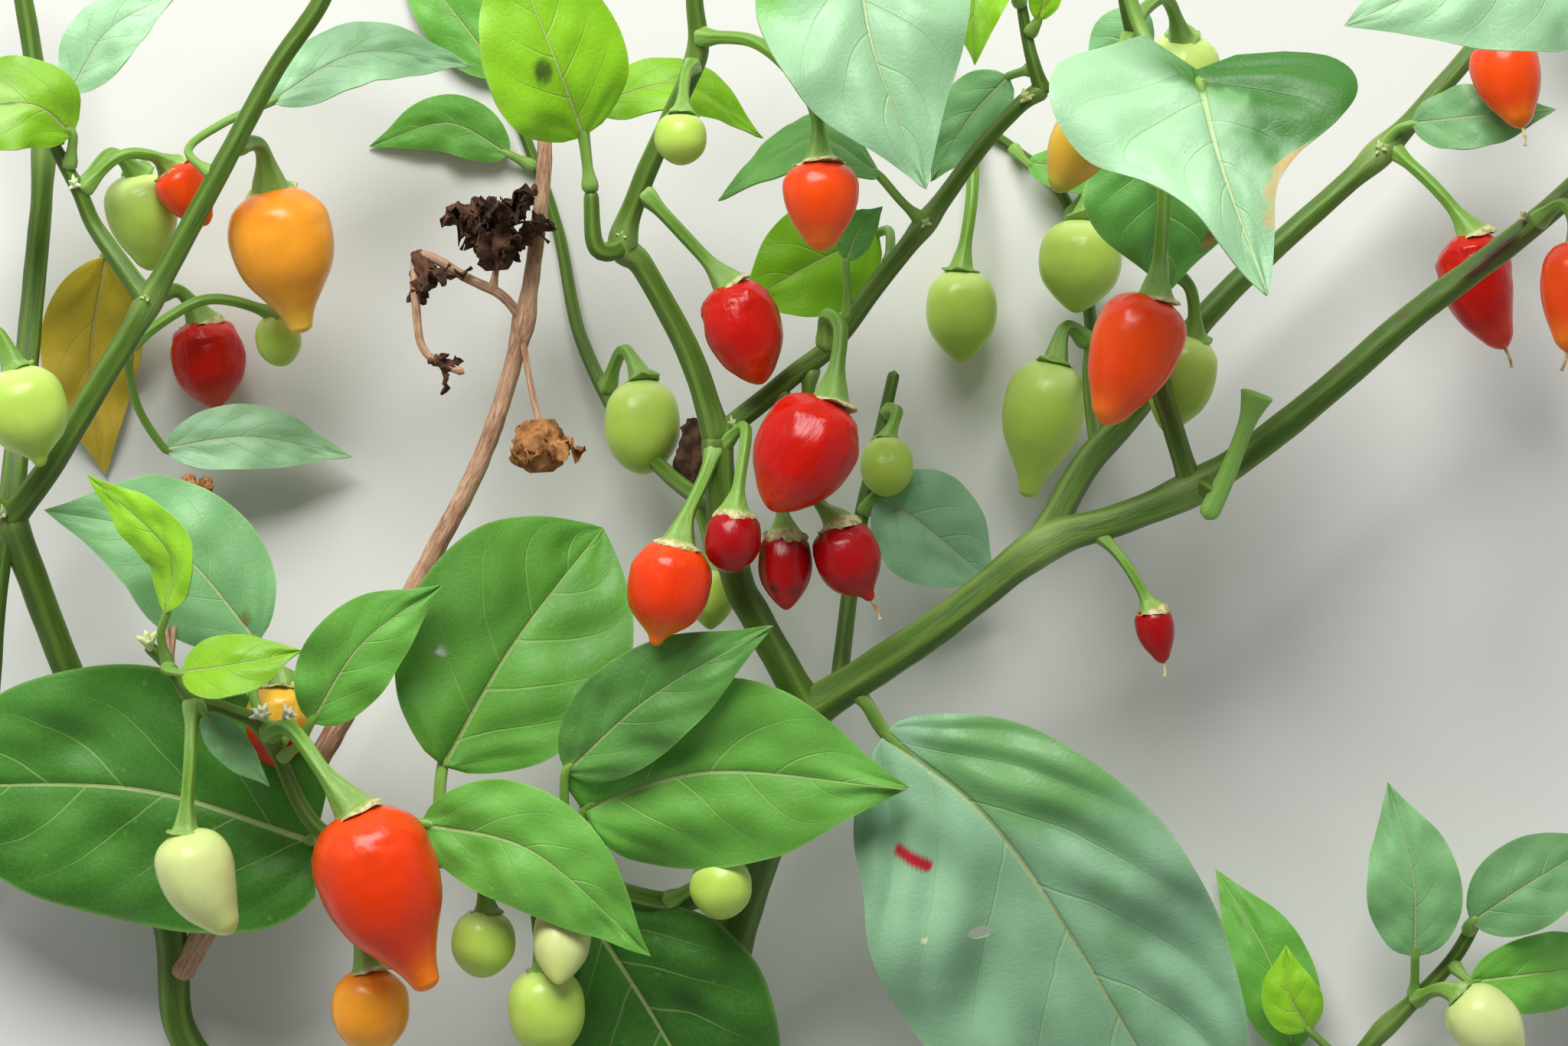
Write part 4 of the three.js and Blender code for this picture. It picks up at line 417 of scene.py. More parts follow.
# Pods' outlines: the shoulder's share, how much of the tip is rounded off, and (share, radius) stops
FORMS = {
    "beak": (0.34, 0.04, ((0.34, 1), (0.47, 0.96), (0.6, 0.83), (0.72, 0.6), (0.84, 0.37), (0.93, 0.26),
                          (1, 0.21))),
    "cone": (0.33, 0.1, ((0.33, 1), (0.5, 0.94), (0.68, 0.76), (0.84, 0.5), (1, 0.25))),
    "plump": (0.4, 0.14, ((0.4, 1), (0.58, 0.95), (0.75, 0.77), (0.88, 0.5), (1, 0.3))),
    "egg": (0.45, 0.34, ((0.45, 1), (0.62, 0.93), (0.8, 0.72), (1, 0.45))),
    "nipple": (0.42, 0.05, ((0.42, 1), (0.6, 0.93), (0.74, 0.72), (0.84, 0.42), (0.91, 0.22), (1, 0.13))),
    "round": (0.52, 0.48, ((0.52, 1), (0.75, 0.97), (1, 0.88))),
}

# Sizes in millimetres, and how many columns and rows a blade has for each
PEDICEL_RADIUS = 0.6
PETIOLE_RADIUS = 0.65
STYLE_RADIUS = 0.26
DRY_STALK_RADIUS = 0.42
THREAD_RADIUS = 0.13
PETAL_THICKNESS = 0.14
LARGE_BLADE_WIDTH = 30
SMALL_POD_WIDTH = 8
THIN_LIMB_RADIUS = 1.2
LIMB_RING_STEP = 0.5
PETIOLE_RING_STEP = 0.7
PEDICEL_RING_STEP = 0.45
BLADE_COLUMNS = 1.4
BLADE_ROWS = 1.35

# Shares, powers, counts and angles
STEPS_PER_SPAN = 24
SWELL_REACH = 1.6
COLLAR = 0.25
COLLAR_REACH = 1.8
RIDGES = 5
WIDEST_SHARE = 0.38
VEIN_START = 0.24
VEIN_ARCH = 0.12
BLADE_REACH = 0.07
MIDRIB_END = 0.8
ROOT_BURIED = 0.8
TIP_BURIED = 0.6
SHOULDER_FALL = 2.6
SHOULDER_ROUND = 2.2
SHARP_ANGLE = math.radians(55)
NEXT_TURN = 2.4
CUT_ENDS = {"main_stem": (0,), "petiole_stub": (1,)}

# The calyx plate, round its rim: share of the rim's radius, lift from the shoulder, and dryness
CALYX_PLATE = ((0.74, -0.3, 0.1), (0.85, -0.25, 0.4), (0.94, -0.22, 0.8), (1.0, -0.15, 1), (1.0, -0.03, 1),
               (0.93, 0.05, 0.9), (0.7, 0.3, 0.4), (0.4, 0.5, 0))


def paint(code):
    """A linear colour from a web colour"""
    values = [int(code[i:i + 2], 16) / 255 for i in (1, 3, 5)]
    linear = [c / 12.92 if c <= 0.04045 else ((c + 0.055) / 1.055) ** 2.4 for c in values]
    return tuple(linear)


def colour(code, words):
    return FloatVectorProperty(name=words, description=words + ", as a base colour", subtype="COLOR",
                               size=3, min=0, max=1, default=paint(code))


def share_step(value, low, high):
    """Rises smoothly from 0 at low to 1 at high"""
    t = min(max((value - low) / (high - low), 0), 1)
    return t * t * (3 - 2 * t)


def place(x, y, z):
    shrink = 1 - (z - FOCUS_HEIGHT) / EYE_TO_FOCUS
    return Vector((x * shrink, y * shrink, z)) - MIDDLE


def smooth_curve(stops, share):
    """A value between (share, value) stops, level at the first and without a kink at the others"""
    last = len(stops) - 1
    span = min(max(bisect_right([stop[0] for stop in stops], share) - 1, 0), last - 1)

    def slope(at):
        if at == 0:
            return 0
        low, high = stops[at - 1], stops[min(at + 1, last)]
        return (high[1] - low[1]) / (high[0] - low[0])

    (x0, y0), (x1, y1) = stops[span], stops[span + 1]
    run = x1 - x0
    t = (share - x0) / run
    leave, arrive = slope(span) * run, slope(span + 1) * run
    return (y0 + leave * t + (3 * (y1 - y0) - 2 * leave - arrive) * t ** 2
            + (2 * (y0 - y1) + leave + arrive) * t ** 3)


class Course:
    """A smooth line through stops, measured along its length"""

    def __init__(self, stops):
        ends = [2 * stops[0] - stops[1], *stops, 2 * stops[-1] - stops[-2]]
        self.points = []
        for before, start, end, after in zip(ends, ends[1:], ends[2:], ends[3:]):
            leave, arrive = (end - before) / 2, (after - start) / 2
            for step in range(STEPS_PER_SPAN):
                t = step / STEPS_PER_SPAN
                self.points.append(start + leave * t + (3 * (end - start) - 2 * leave - arrive) * t ** 2
                                   + (2 * (start - end) + leave + arrive) * t ** 3)
        self.points.append(stops[-1])
        self.lengths = [0]
        for a, b in zip(self.points, self.points[1:]):
            self.lengths.append(self.lengths[-1] + (b - a).length)
        self.stop_lengths = self.lengths[::STEPS_PER_SPAN]
        self.total = self.lengths[-1]

    def at(self, length):
        """The point at a length from the root; past an end the line runs on straight"""
        span = min(max(bisect_right(self.lengths, length) - 1, 0), len(self.points) - 2)
        run = self.lengths[span + 1] - self.lengths[span]
        return self.points[span].lerp(self.points[span + 1], (length - self.lengths[span]) / run)

    def along(self, length, reach=0.05):
        """The way that the line runs at a length, taken over a reach to either side"""
        inside = min(max(length, reach), self.total - reach)
        return (self.at(inside + reach) - self.at(inside - reach)).normalized()


def nearest_on(course, goal):
    return min(course.points, key=lambda point: (point - goal).length)


def nearest_length(course, goal):
    return min(zip(course.points, course.lengths), key=lambda pair: (pair[0] - goal).length)[1]


def limb_course(limb):
    """The limb's line, run on into the limb that bears it and a little past its tip, but not past a cut"""
    stops = [place(*stop) for stop in limb["stops"]]
    cut = CUT_ENDS.get(limb["name"], ())
    if 0 not in cut:
        stops[0] += (stops[0] - stops[1]).normalized() * limb["radii"][0] * ROOT_BURIED
    if 1 not in cut:
        stops[-1] += (stops[-1] - stops[-2]).normalized() * limb["radii"][1] * TIP_BURIED
    return Course(stops)


LIMB_COURSES = {limb["name"]: limb_course(limb) for limb in LIMBS}


def stalk_stops(row, *ends):
    """The stops of a row's stalk, from the middle of the limb that bears it"""
    first, *others = row["stalk"]
    root = nearest_on(LIMB_COURSES[row.get("on") or row["node"]], place(*first))
    return [root, *(place(*stop) for stop in others), *ends]


def new_bmesh():
    """A bmesh with the layers that the materials read"""
    bm = bmesh.new()
    for name in ("ridge", "knot", "rim", "along", "rib", "pairs", "under", "tint"):
        bm.verts.layers.float.new(name)
    for name in ("skin", "blade"):
        bm.verts.layers.float_vector.new(name)
    # This colour layer holds stains, and on a few pieces painted light and shade
    bm.verts.layers.float_color.new("stain")
    return bm


def round_body(bm, course, profile, sides, shift=None, marks=None, material=0):
    """A closed body along a course from rings of (length, radius), the first and last drawn to a pole.

    shift(ring, angle) gives a ring point's extra radius and length, and marks(ring, angle) its layers."""
    rings = len(profile)
    made = bmesh.ops.create_uvsphere(bm, u_segments=sides, v_segments=rings + 1, radius=1)
    frames = []
    side = course.along(profile[0][0]).orthogonal()
    for length, radius in profile:
        along = course.along(length)
        side = (side - along * side.dot(along)).normalized()
        frames.append((course.at(length), side, side.cross(along), along))
    skin = bm.verts.layers.float_vector["skin"]
    stain = bm.verts.layers.float_color["stain"]
    layers = bm.verts.layers.float
    for vert in made["verts"]:
        polar = math.acos(min(max(vert.co.z, -1), 1))
        level = round(polar * (rings + 1) / math.pi)
        ring = min(max(level - 1, 0), rings - 1)
        length, radius = profile[ring]
        middle, side, up, along = frames[ring]
        angle = math.atan2(vert.co.y, vert.co.x)
        out, on = shift(ring, angle) if shift else (0, 0)
        reach = 0 if level in (0, rings + 1) else radius + out
        vert.co = middle + (side * math.cos(angle) + up * math.sin(angle)) * reach + along * on
        vert[skin] = (math.cos(angle) * radius, math.sin(angle) * radius, length)
        vert[stain] = (0, 0, 0, 0)
        for name, value in (marks(ring, angle) if marks else {}).items():
            vert[layers[name]] = value
    for vert in made["verts"]:
        for face in vert.link_faces:
            face.material_index = material
            face.smooth = True
    return made["verts"]


def stain_and_light_near(verts, layer, spots, along=UP, stretch=1):
    """Tints the points near each spot (x, y, z, radius, tone), drawn out along a way by the stretch"""
    for x, y, z, size, code in spots:
        middle = place(x, y, z)
        for vert in verts:
            off = vert.co - middle
            run = off.dot(along)
            distance = math.sqrt(max(off.length_squared - run ** 2, 0) + (run / stretch) ** 2)
            weight = 1 - share_step(distance, 0.5 * size, 1.1 * size)
            if weight > vert[layer][3]:
                vert[layer] = (*paint(code), weight)


def rounded_ends(length, total, radius):
    """The radius share near a body's round ends"""
    near = min(length, total - length) / radius
    return math.sqrt(max(1 - (1 - near) ** 2, 0.02)) if near < 1 else 1


def grown(make, rows):
    """One bmesh with all the rows' bodies, each made in a small bmesh of its own, which is far quicker"""
    bm = new_bmesh()
    for row in rows:
        part = new_bmesh()
        make(part, row)
        mesh = bpy.data.meshes.new("part")
        part.to_mesh(mesh)
        part.free()
        bm.from_mesh(mesh)
        bpy.data.meshes.remove(mesh)
    return bm


def finish_piece(name, bm, materials, slot, nodes):
    """The piece in metres, smooth but for its sharp edges, riding on the one body in its nodes' place"""
    bmesh.ops.scale(bm, vec=(MM, MM, MM), verts=bm.verts)
    mesh = bpy.data.meshes.new(name)
    bm.to_mesh(mesh)
    bm.free()
    mesh.set_sharp_from_angle(angle=SHARP_ANGLE)
    for material in materials:
        mesh.materials.append(material)
    piece = bpy.data.objects.new(name, mesh)
    bpy.context.scene.collection.objects.link(piece)
    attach(piece, "root")
    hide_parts(*nodes)


def limb_profile(limb, course):
    """Rings along a limb: taper, swellings at nodes, a collar at the root and round or cut ends"""
    first, last = limb["radii"]
    total = course.total
    swells = [(course.stop_lengths[stop], size) for stop, size in limb.get("swell", {}).items()]
    reach = SWELL_REACH * first
    count = max(int(total / LIMB_RING_STEP), 12)
    cut = CUT_ENDS.get(limb["name"], ())
    profile, knots = [], []
    for ring in range(count + 1):
        length = total * ring / count
        knot = sum(size * math.exp(-((length - at) / reach) ** 2) for at, size in swells)
        collar = COLLAR * first * math.exp(-(length / (COLLAR_REACH * first)) ** 2)
        if 0 in cut or "girths" in limb:
            collar = 0
        radius = first + (last - first) * length / total + knot + collar
        if "girths" in limb:
            radius = smooth_curve(limb["girths"], length / total)
        near_end = (length < total / 2 and 0 not in cut) or (length >= total / 2 and 1 not in cut)
        profile.append((length, radius * (rounded_ends(length, total, radius) if near_end else 1)))
        knots.append(min(knot / 0.6 + 0.4 * collar, 1))
    if 0 in cut:
        profile = [(0, first * 0.55), (0, first * 0.94), (0.25, first), *profile[1:]]
        knots = [0, 0, 0, *knots[1:]]
    if 1 in cut:
        wide = profile[-1][1]
        profile += [(total + 0.12, wide * 0.97), (total, wide * 0.86), (total - 0.35, wide * 0.6),
                    (total - 0.5, wide * 0.25)]
        knots += [0.9, 0.9, 0.5, 0.5]
    return profile, knots


def add_limb(bm, limb, ridge_depth, sides):
    course = LIMB_COURSES[limb["name"]]
    profile, knots = limb_profile(limb, course)
    seed = len(limb["name"]) * 1.7 + profile[-1][0]
    dead = limb.get("material") == "dead"
    depth = ridge_depth * (0.25 if dead else 1)

    def ridge(ring, angle):
        return math.cos(RIDGES * (angle + 0.012 * profile[ring][0]) + seed)

    def shift(ring, angle):
        length, radius = profile[ring]
        spot = Vector((math.cos(angle) * radius, math.sin(angle) * radius, length * 0.5 + seed))
        rough = noise.noise(spot * (1.1 if dead else 0.5)) * (0.09 if dead else 0.06)
        return radius * (depth * ridge(ring, angle) * (1 - 0.7 * knots[ring]) + rough), 0

    def marks(ring, angle):
        return {"ridge": 0.5 + 0.5 * ridge(ring, angle), "knot": knots[ring]}

    verts = round_body(bm, course, profile, sides, shift, marks)
    layer = bm.verts.layers.float_color["stain"]
    # Scars, and on the petiole stub painted light, as spots drawn out along the limb
    for spot in limb.get("scars", ()):
        at = nearest_length(course, place(*spot[:3]))
        stain_and_light_near(verts, layer, [spot], course.along(at), 5)


def half_width(share, row):
    """Half a blade's width: a round or blunt base, full sides and a drawn-out tip"""
    if "outline" in row:
        return row["width"] / 2 * smooth_curve(row["outline"], share)
    widest = row.get("widest", WIDEST_SHARE)
    if share < widest:
        full = max(1 - (1 - share / widest) ** 2.1, 0) ** row.get("blunt", 0.62)
    else:
        outer = (share - widest) / (1 - widest)
        full = max(1 - outer ** row.get("taper", 1.8), 0) ** 0.95
        full *= 1 - row.get("draw", 0.35) * share_step(outer, 0.4, 1)
    return row["width"] / 2 * full


def vein_phase(across, share, pairs):
    """How far a point lies between two side veins that leave the midrib and arch to the tip"""
    off = abs(across)
    return (share - off * (VEIN_START + VEIN_ARCH * off)) * pairs + (0.5 if across > 0 else 0)


def vein_pairs(length):
    """How many pairs of side veins a blade has"""
    return 6 if length > 44 else 5 if length > 24 else 4


def midrib_course(row):
    return Course([place(*row[key]) for key in ("base", "middle", "tip")])


def add_blade(bm, row, look, material):
    """A leaf blade: a grid laid along the midrib, folded, quilted between veins, waved and thickened"""
    course = midrib_course(row)
    width, length = row["width"], course.total
    detail = row.get("detail", 1)
    columns = 2 * max(int(width * BLADE_COLUMNS / 2 * detail), 10)
    rows = max(int(length * BLADE_ROWS * detail), 26)
    pairs = vein_pairs(length)
    layers = bm.verts.layers.float
    blade = bm.verts.layers.float_vector["blade"]
    stain = bm.verts.layers.float_color["stain"]
    face_way = Vector(row["face"])
    seed = Vector((width, length, course.points[0].x))
    sides = row.get("sides", (1, 1))
    lobes = row.get("lobes", (0, 0))
    narrow = row.get("narrow", (0, 0))
    tint = row.get("tint", 0.5 + 0.5 * noise.noise(seed))
    scale = width / LARGE_BLADE_WIDTH

    def crossing(share):
        """At a share of the midrib: its point, the ways aside, up and along, and half the blade's width"""
        along = course.along(share * length, BLADE_REACH * length)
        side = along.cross(face_way).normalized()
        return course.at(share * length), side, side.cross(along), along, half_width(share, row)

    def lift(across, share, half, spot):
        """How far a point stands above the midrib: the fold, the quilting, the waves, less the groove"""
        off = abs(across)
        quilt = math.sin(math.pi * vein_phase(across, share, pairs)) ** 2
        pucker = look.pucker / MM * scale * row.get("pucker", 1) * min(half / (0.3 * width), 1) ** 2
        puff = pucker * (quilt ** 0.8 - 0.5) * math.sin(math.pi * off) ** 0.8
        fold = half * (row.get("fold", look.fold) * off - look.cup * off ** 2)
        swing = math.sin(9 * share + seed.x + 2 * across) + 0.5 * math.sin(19 * share + seed.y)
        wave = look.wave * half * off ** 3 * swing
        groove = rib_groove(width) * math.exp(-(across * half / 0.7) ** 2)
        dips = noise.noise((spot + seed) * (2.4 / width + 0.04))
        uneven = look.uneven / MM * min(scale, 1) * dips * share_step(off, 0, 0.4)
        return fold + puff + wave - groove + uneven

    def mark(vert, across, share, half, spot):
        """Tints a point near the blade's own marks, whose edges are a little ragged"""
        ragged = 1 + 0.2 * noise.noise(spot * 0.5)
        vert[stain] = (0, 0, 0, 0)
        for mark_across, mark_share, size, code, *power in row.get("marks", ()):
            distance = math.hypot((across - mark_across) * half, (share - mark_share) * length) * ragged
            weight = (power[0] if power else 1) * (1 - share_step(distance, 0.55 * size, 1.15 * size))
            if weight > vert[stain][3]:
                vert[stain] = (*paint(code), weight)

    grid = bmesh.ops.create_grid(bm, x_segments=columns, y_segments=rows, size=1)["verts"]
    crossings = {}
    for vert in grid:
        # Columns lie closer together beside the midrib
        across, share = vert.co.x * (0.4 + 0.6 * abs(vert.co.x)), (vert.co.y + 1) / 2
        key = round(share, 5)
        if key not in crossings:
            crossings[key] = crossing(share)
        middle, side, up, along, half = crossings[key]
        hand = 0 if across > 0 else 1
        half *= sides[hand] * (1 - narrow[hand] * (1 - share_step(share, 0, 0.4)))
        back = lobes[hand] * across ** 2 * (1 - share) ** 4
        aside = side * across * half
        vert.co = middle - along * back + aside + up * lift(across, share, half, middle + aside)
        vert[blade] = (across, share, vein_half(width) * pairs / length)
        vert[layers["rib"]] = abs(across) * half / rib_half(width)
        vert[layers["pairs"]] = pairs
        vert[layers["tint"]] = tint
        mark(vert, across, share, half, middle + aside)
    cut_holes(bm, row, grid, length)
    close_ends(bm, grid, blade)
    faces = list({face for vert in grid if vert.is_valid for face in vert.link_faces})
    thicken(bm, faces, look.thickness / MM, layers["under"], material)


def rib_groove(width):
    """How deep the midrib lies in a blade"""
    return 0.22 * min(width / 20, 1)


def rib_half(width):
    """Half the width of a blade's pale midrib"""
    return 0.1 + 0.012 * width


def vein_half(width):
    """Half the width of a blade's side veins"""
    return 0.07 + 0.003 * width


def close_ends(bm, grid, blade):
    """Draws the first and the last row of a sheet's grid together, each to a point"""
    for end in (0, 1):
        row = [vert for vert in grid if vert.is_valid and abs(vert[blade].y - end) < 1e-4]
        middle = sum((vert.co for vert in row), Vector()) / len(row)
        bmesh.ops.pointmerge(bm, verts=row, merge_co=middle)


def cut_holes(bm, row, grid, length):
    """Opens each elliptical hole (its middle, long and short radius, and turn) and rounds its edge"""
    blade = bm.verts.layers.float_vector["blade"]
    rib = bm.verts.layers.float["rib"]
    for hole_across, hole_share, long_radius, short_radius, turn in row.get("holes", ()):
        def spot(vert):
            sign = 1 if vert[blade].x > 0 else -1
            beside = vert[rib] * rib_half(row["width"]) * sign - hole_across
            beyond = (vert[blade].y - hole_share) * length
            return ((beside * math.cos(turn) + beyond * math.sin(turn)) / long_radius,
                    (beyond * math.cos(turn) - beside * math.sin(turn)) / short_radius)

        inside = [v for v in grid if v.is_valid and math.hypot(*spot(v)) < 1]
        edge = {other for v in inside for face in v.link_faces for other in face.verts} - set(inside)
        pulls = []
        middle = sum((v.co for v in inside), Vector()) / len(inside)
        for vert in edge:
            pulls.append((vert, middle.lerp(vert.co, 1.05 / math.hypot(*spot(vert)))))
        for vert, goal in pulls:
            vert.co = goal
        bmesh.ops.delete(bm, geom=inside, context="VERTS")


def thicken(bm, faces, thickness, under, material):
    """Gives a sheet its thickness: a copy stays as its top, and the sheet sinks as its underside"""
    for face in faces:
        face.normal_update()
    verts = {vert for face in faces for vert in face.verts}
    for vert in verts:
        vert.normal_update()
    sinks = [(vert, vert.normal * thickness) for vert in verts]
    made = bmesh.ops.extrude_face_region(bm, geom=faces, use_keep_orig=True)
    for vert, sink in sinks:
        vert.co -= sink
        vert[under] = 1
    bmesh.ops.reverse_faces(bm, faces=faces)
    copies = [item for item in made["geom"] if isinstance(item, bmesh.types.BMFace)]
    shell = {near for face in faces + copies for vert in face.verts for near in vert.link_faces}
    for face in shell:
        face.material_index = material
        face.smooth = True
    bmesh.ops.recalc_face_normals(bm, faces=list(shell))


def add_petiole(bm, row, material):
    """The leaf's stalk, with a thicker foot, that runs on below the blade as its midrib"""
    blade = midrib_course(row)
    face_way = Vector(row["face"])
    slim = PETIOLE_RADIUS * min(0.7 + row["width"] / 55, 1.4)

    def rib_radius(share):
        return slim * (1 - 0.8 * share_step(share, 0, MIDRIB_END))

    def below(share):
        along = blade.along(share * blade.total, BLADE_REACH * blade.total)
        up = along.cross(face_way).normalized().cross(along)
        sink = rib_groove(row["width"]) + rib_radius(share) * (0.45 + 0.55 * share_step(share, 0, 0.06))
        return blade.at(share * blade.total) - up * sink

    ribs = [0, 0.06, 0.2, 0.35, 0.5, 0.65, MIDRIB_END]
    course = Course(stalk_stops(row, *(below(share) for share in ribs)))
    blade_from = course.stop_lengths[-len(ribs)]
    count = max(int(course.total / PETIOLE_RING_STEP), 16)
    profile = []
    for ring in range(count + 1):
        length = course.total * ring / count
        share = max(length - blade_from, 0) / (course.total - blade_from) * MIDRIB_END
        radius = rib_radius(share) + 0.5 * math.exp(-((length - 0.8) / 1.5) ** 2)
        profile.append((length, radius * rounded_ends(length, course.total, radius)))

    def marks(ring, angle):
        foot = math.exp(-(profile[ring][0] / 2.2) ** 2)
        return {"ridge": 0.5 + 0.5 * math.cos(3 * angle), "knot": 0.35 + 0.6 * foot}

    round_body(bm, course, profile, 12, marks=marks, material=material)


def pod_course(row):
    neck, tip = place(*row["neck"]), place(*row["tip"])
    along = tip - neck
    sideways = along.cross(UP).normalized()
    return Course([neck, neck + along / 2 + sideways * row.get("bow", 0), tip])


def pod_radius(share, form):
    """The flesh's radius share: a full shoulder, the outline between its stops and a rounded tip"""
    shoulder, blunt, stops = FORMS[form]
    if share < shoulder:
        return (1 - ((shoulder - share) / shoulder) ** SHOULDER_FALL) ** (1 / SHOULDER_ROUND)
    past = (share - 1 + blunt) / blunt
    end = math.sqrt(max(1 - past ** 2, 0)) if past > 0 else 1
    return smooth_curve(stops, share) * end


def shoulder_depth(radius_share, length, form):
    """How far below the neck the flesh reaches a radius share"""
    fall = 1 - (1 - radius_share ** SHOULDER_ROUND) ** (1 / SHOULDER_FALL)
    return length * FORMS[form][0] * fall


def add_flesh(bm, row, look, material):
    course = pod_course(row)
    half = row["width"] / 2
    rings, sides = (60, 56) if row["width"] > SMALL_POD_WIDTH else (40, 36)
    shares = [(1 - math.cos(math.pi * (k + 0.6) / (rings + 0.2))) / 2 for k in range(rings)]
    profile = [(share * course.total, max(pod_radius(share, row["form"]), 0.01) * half) for share in shares]
    seed = sum(course.points[0])
    dimple = look.dimple / MM * POD_LOOKS[row["look"]][5]

    def shift(ring, angle):
        length, radius = profile[ring]
        share = shares[ring]
        shoulder = 1 - share_step(share, 0.08, 0.5)
        lobes = 0.022 * math.cos(3 * angle + seed) + 0.012 * math.cos(5 * angle + 2 * seed)
        creases = -0.035 * (1 - share_step(share, 0.02, 0.2)) * max(math.cos(9 * angle + seed), 0)
        spot = Vector((math.cos(angle) * radius, math.sin(angle) * radius, length)) + Vector((seed, 0, 0))
        fine = 0.45 * noise.noise(spot * 0.8) + 0.35 * noise.noise(spot * 1.7)
        dips = noise.noise(spot * 0.36) + fine * shoulder
        body = radius * (lobes * (1 - share_step(share, 0.55, 0.9)) + creases)
        return body + radius / half * dips * dimple * (0.3 + 0.9 * shoulder), 0

    def marks(ring, angle):
        return {"along": shares[ring]}

    verts = round_body(bm, course, profile, sides, shift, marks, material)
    stain = bm.verts.layers.float_color["stain"]
    middle = course.at(course.total * 0.45)
    for way_x, way_y, way_z, reach, code in row.get("flush", ()):
        way = Vector((way_x, way_y, way_z)).normalized()
        for vert in verts:
            weight = share_step((vert.co - middle).dot(way) / half, reach, reach + 0.8)
            if weight > vert[stain][3]:
                vert[stain] = (*paint(code), weight)
    stain_and_light_near(verts, stain, row.get("spots", ()))


def add_stalk(bm, row, look, material):
    """The pedicel, thick at its foot and flared to a thin calyx plate with a ragged rim on the shoulder"""
    flesh = pod_course(row)
    neck = flesh.points[0]
    stops = stalk_stops(row, neck, neck + flesh.along(0) * 1.6)
    course = Course(stops)
    neck_at = course.stop_lengths[-2]
    half = row["width"] / 2
    slim = PEDICEL_RADIUS * (0.85 + 0.055 * row["width"])
    young = POD_SLOTS[row["look"]] == "pod_green"
    rim = min(0.9 * half, 1.9 + 0.115 * row["width"]) * look.calyx * (0.78 if young else 1)
    flare = 0.55 * row["width"]
    dry = 0.12 if young else 1
    profile, rims = [], []
    length = 0.0
    while length < neck_at - 0.3:
        widen = share_step(length, neck_at - flare, neck_at + 0.8) ** 1.7
        radius = slim + widen * (0.7 * rim - slim) + 0.5 * math.exp(-((length - 1.0) / 1.8) ** 2)
        profile.append((length, radius * rounded_ends(length, 2 * neck_at, 0.9)))
        rims.append(0)
        length += PEDICEL_RING_STEP
    for share, lift, weight in CALYX_PLATE:
        radius = share * rim
        depth = shoulder_depth(min(radius / half, 0.95), flesh.total, row["form"])
        profile.append((neck_at + depth + lift, radius))
        rims.append(weight)
    seed = neck.x + neck.y

    def shift(ring, angle):
        weight = rims[ring]
        teeth = math.cos(5 * angle + seed) + 0.5 * math.cos(11 * angle + 2 * seed)
        ragged = noise.noise(Vector((math.cos(angle) * 2.2, math.sin(angle) * 2.2, seed)))
        frayed = noise.noise(Vector((math.cos(angle) * 6, math.sin(angle) * 6, seed)))
        ribs = 0.06 * math.cos(5 * angle + seed) * profile[ring][1] * (1 - weight)
        edge = weight ** 2 * rim * (0.05 * teeth + 0.16 * ragged + 0.07 * frayed)
        return edge + ribs, -0.35 * weight ** 3 * max(ragged + 0.2 * teeth, -0.3)

    def marks(ring, angle):
        knot = math.exp(-(profile[ring][0] / 2.4) ** 2)
        knot += 0.6 * share_step(profile[ring][0], neck_at - flare, neck_at)
        return {"ridge": 0.5 + 0.5 * math.cos(5 * angle + seed), "knot": min(knot, 1),
                "rim": rims[ring] * dry}

    round_body(bm, course, profile, 30, shift, marks, material)


def add_style(bm, row, material):
    """The dried style that stays on a pod's tip"""
    flesh = pod_course(row)
    tip, along = flesh.points[-1], flesh.along(flesh.total)
    length = row["style"]
    lean = along.cross(UP).normalized() * 0.12 * length
    course = Course([tip - along * 0.5, tip + along * length / 2, tip + along * length + lean])
    count = 9
    profile = [(course.total * k / count, STYLE_RADIUS - 0.1 * k / count + (0.1 if k == count else 0))
               for k in range(count + 1)]
    round_body(bm, course, profile, 8, material=material)


def add_bud(bm, row, material):
    """A tuft of small pointed scales that part from a node"""
    spot, way = place(*row["at"]), Vector(row["way"]).normalized()
    first = way.orthogonal().normalized()
    second = way.cross(first)
    stain = bm.verts.layers.float_color["stain"]
    for scale in range(row["count"]):
        angle = NEXT_TURN * scale
        out = (first * math.cos(angle) + second * math.sin(angle)) * (0.2 + 0.9 * scale / row["count"])
        size = row["length"] * (1 - 0.4 * scale / row["count"])
        root = spot - way * 0.5
        course = Course([root, root + (way + out * 0.5) * size * 0.6, root + (way + out * 1.2) * size])
        profile = [(course.total * k / 8, size * 0.25 * math.sin(math.pi * (0.15 + 0.8 * k / 8)) ** 0.8)
                   for k in range(9)]
        for vert in round_body(bm, course, profile, 8, material=material):
            vert[stain] = (*paint(row["tone"]), 0.85)


